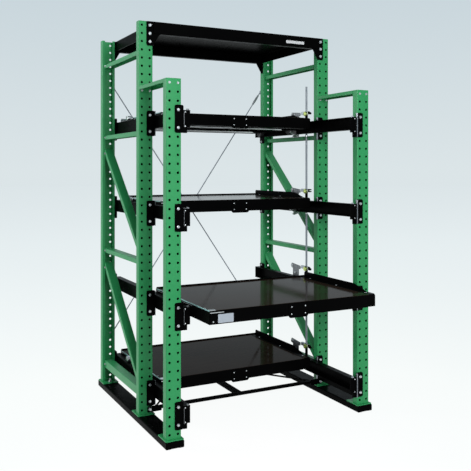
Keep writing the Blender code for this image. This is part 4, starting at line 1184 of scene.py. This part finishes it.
def seen_ray(tree):
    """1 for rays from the camera, gloss and glass, else 0."""
    rays = add_node(tree, "LightPath", {}).outputs
    seen = maths(tree, "MAXIMUM", rays["Is Camera Ray"], rays["Is Glossy Ray"])
    return maths(tree, "MAXIMUM", seen, rays["Is Transmission Ray"])


def mix_to_output(tree, amount, first, second, output):
    """Mixes two shaders into the output."""
    mix = add_node(tree, "MixShader", {0: amount, 1: first.outputs[0], 2: second.outputs[0]})
    add_node(tree, output, {"Surface": mix.outputs[0]})


def floor_colours(tree):
    """Pale near the rack and bluer with the distance from a point ahead of it."""
    length = add_node(tree, "VectorMath", {0: add_node(tree, "TexCoord", {}).outputs["Object"]})
    length.operation = "LENGTH"
    away = maths(tree, "ADD", length.outputs["Value"], FLOOR_FADE)
    return ramp(tree, maths(tree, "DIVIDE", FLOOR_FADE, away), FLOOR_COLOURS, FLOOR_POSITIONS)


def make_floor():
    material = bpy.data.materials.new("pale_floor")
    material.use_nodes = True
    tree = material.node_tree
    tree.nodes.clear()
    glow = add_node(tree, "Emission", {"Color": floor_colours(tree), "Strength": 1 / FLOOR_GLOW})
    paint = add_node(tree, "BsdfDiffuse", {"Color": (*FLOOR_PAINT, 1)})
    amount = maths(tree, "MULTIPLY", seen_ray(tree), FLOOR_GLOW)
    mix_to_output(tree, amount, paint, glow, "OutputMaterial")
    bm = bmesh.new()
    bmesh.ops.create_circle(bm, cap_ends=True, segments=FLOOR_SIDES, radius=FLOOR_REACH)
    floor = linked("floor", mesh_of("floor", bm, material))
    floor.location = (*FLOOR_CENTRE, 0)


def make_world():
    world = bpy.data.worlds.new("pale_studio")
    bpy.context.scene.world = world
    world.use_nodes = True
    tree = world.node_tree
    tree.nodes.clear()
    place = add_node(tree, "TexCoord", {}).outputs["Generated"]
    height = add_node(tree, "SeparateXYZ", {0: place}).outputs["Z"]
    sky = ramp(tree, height, (SKY_LOW, SKY_HIGH), (0.0, SKY_END))
    shown = add_node(tree, "Background", {"Color": sky})
    ambient = add_node(tree, "Background", {"Color": (*AMBIENT, 1), "Strength": AMBIENT_STRENGTH})
    mix_to_output(tree, seen_ray(tree), ambient, shown, "OutputWorld")


def add_softbox(name, place, target, size, power):
    light = bpy.data.lights.new(name, "AREA")
    light.shape = "SQUARE"
    light.size = size
    light.energy = power
    lamp = linked(name, light)
    lamp.location = place
    lamp.rotation_euler = (Vector(target) - Vector(place)).to_track_quat("-Z", "Y").to_euler()


def make_camera():
    data = bpy.data.cameras.new("camera")
    data.sensor_width = SENSOR
    data.lens = SENSOR * FOCAL_PIXELS / PHOTO_SIDE
    data.shift_y = (HORIZON_ROW - PHOTO_SIDE / 2) / PHOTO_SIDE
    data.clip_end = CLIP_END
    camera = linked("camera", data)
    camera.location = RACK + Vector(CAMERA_PLACE)
    camera.rotation_euler = (math.pi / 2, 0, -CAMERA_TURN)
    bpy.context.scene.camera = camera


for make in (make_posts, make_bases, make_braces, make_top_ties, make_front_beam, make_rear_beam,
             make_top_panel, make_rails, make_shelves, make_interlock, make_low_ties, make_back_rods,
             make_floor, make_world, make_camera):
    make()
for softbox in SOFTBOXES:
    add_softbox(*softbox)
bpy.context.scene.view_settings.view_transform = "Standard"
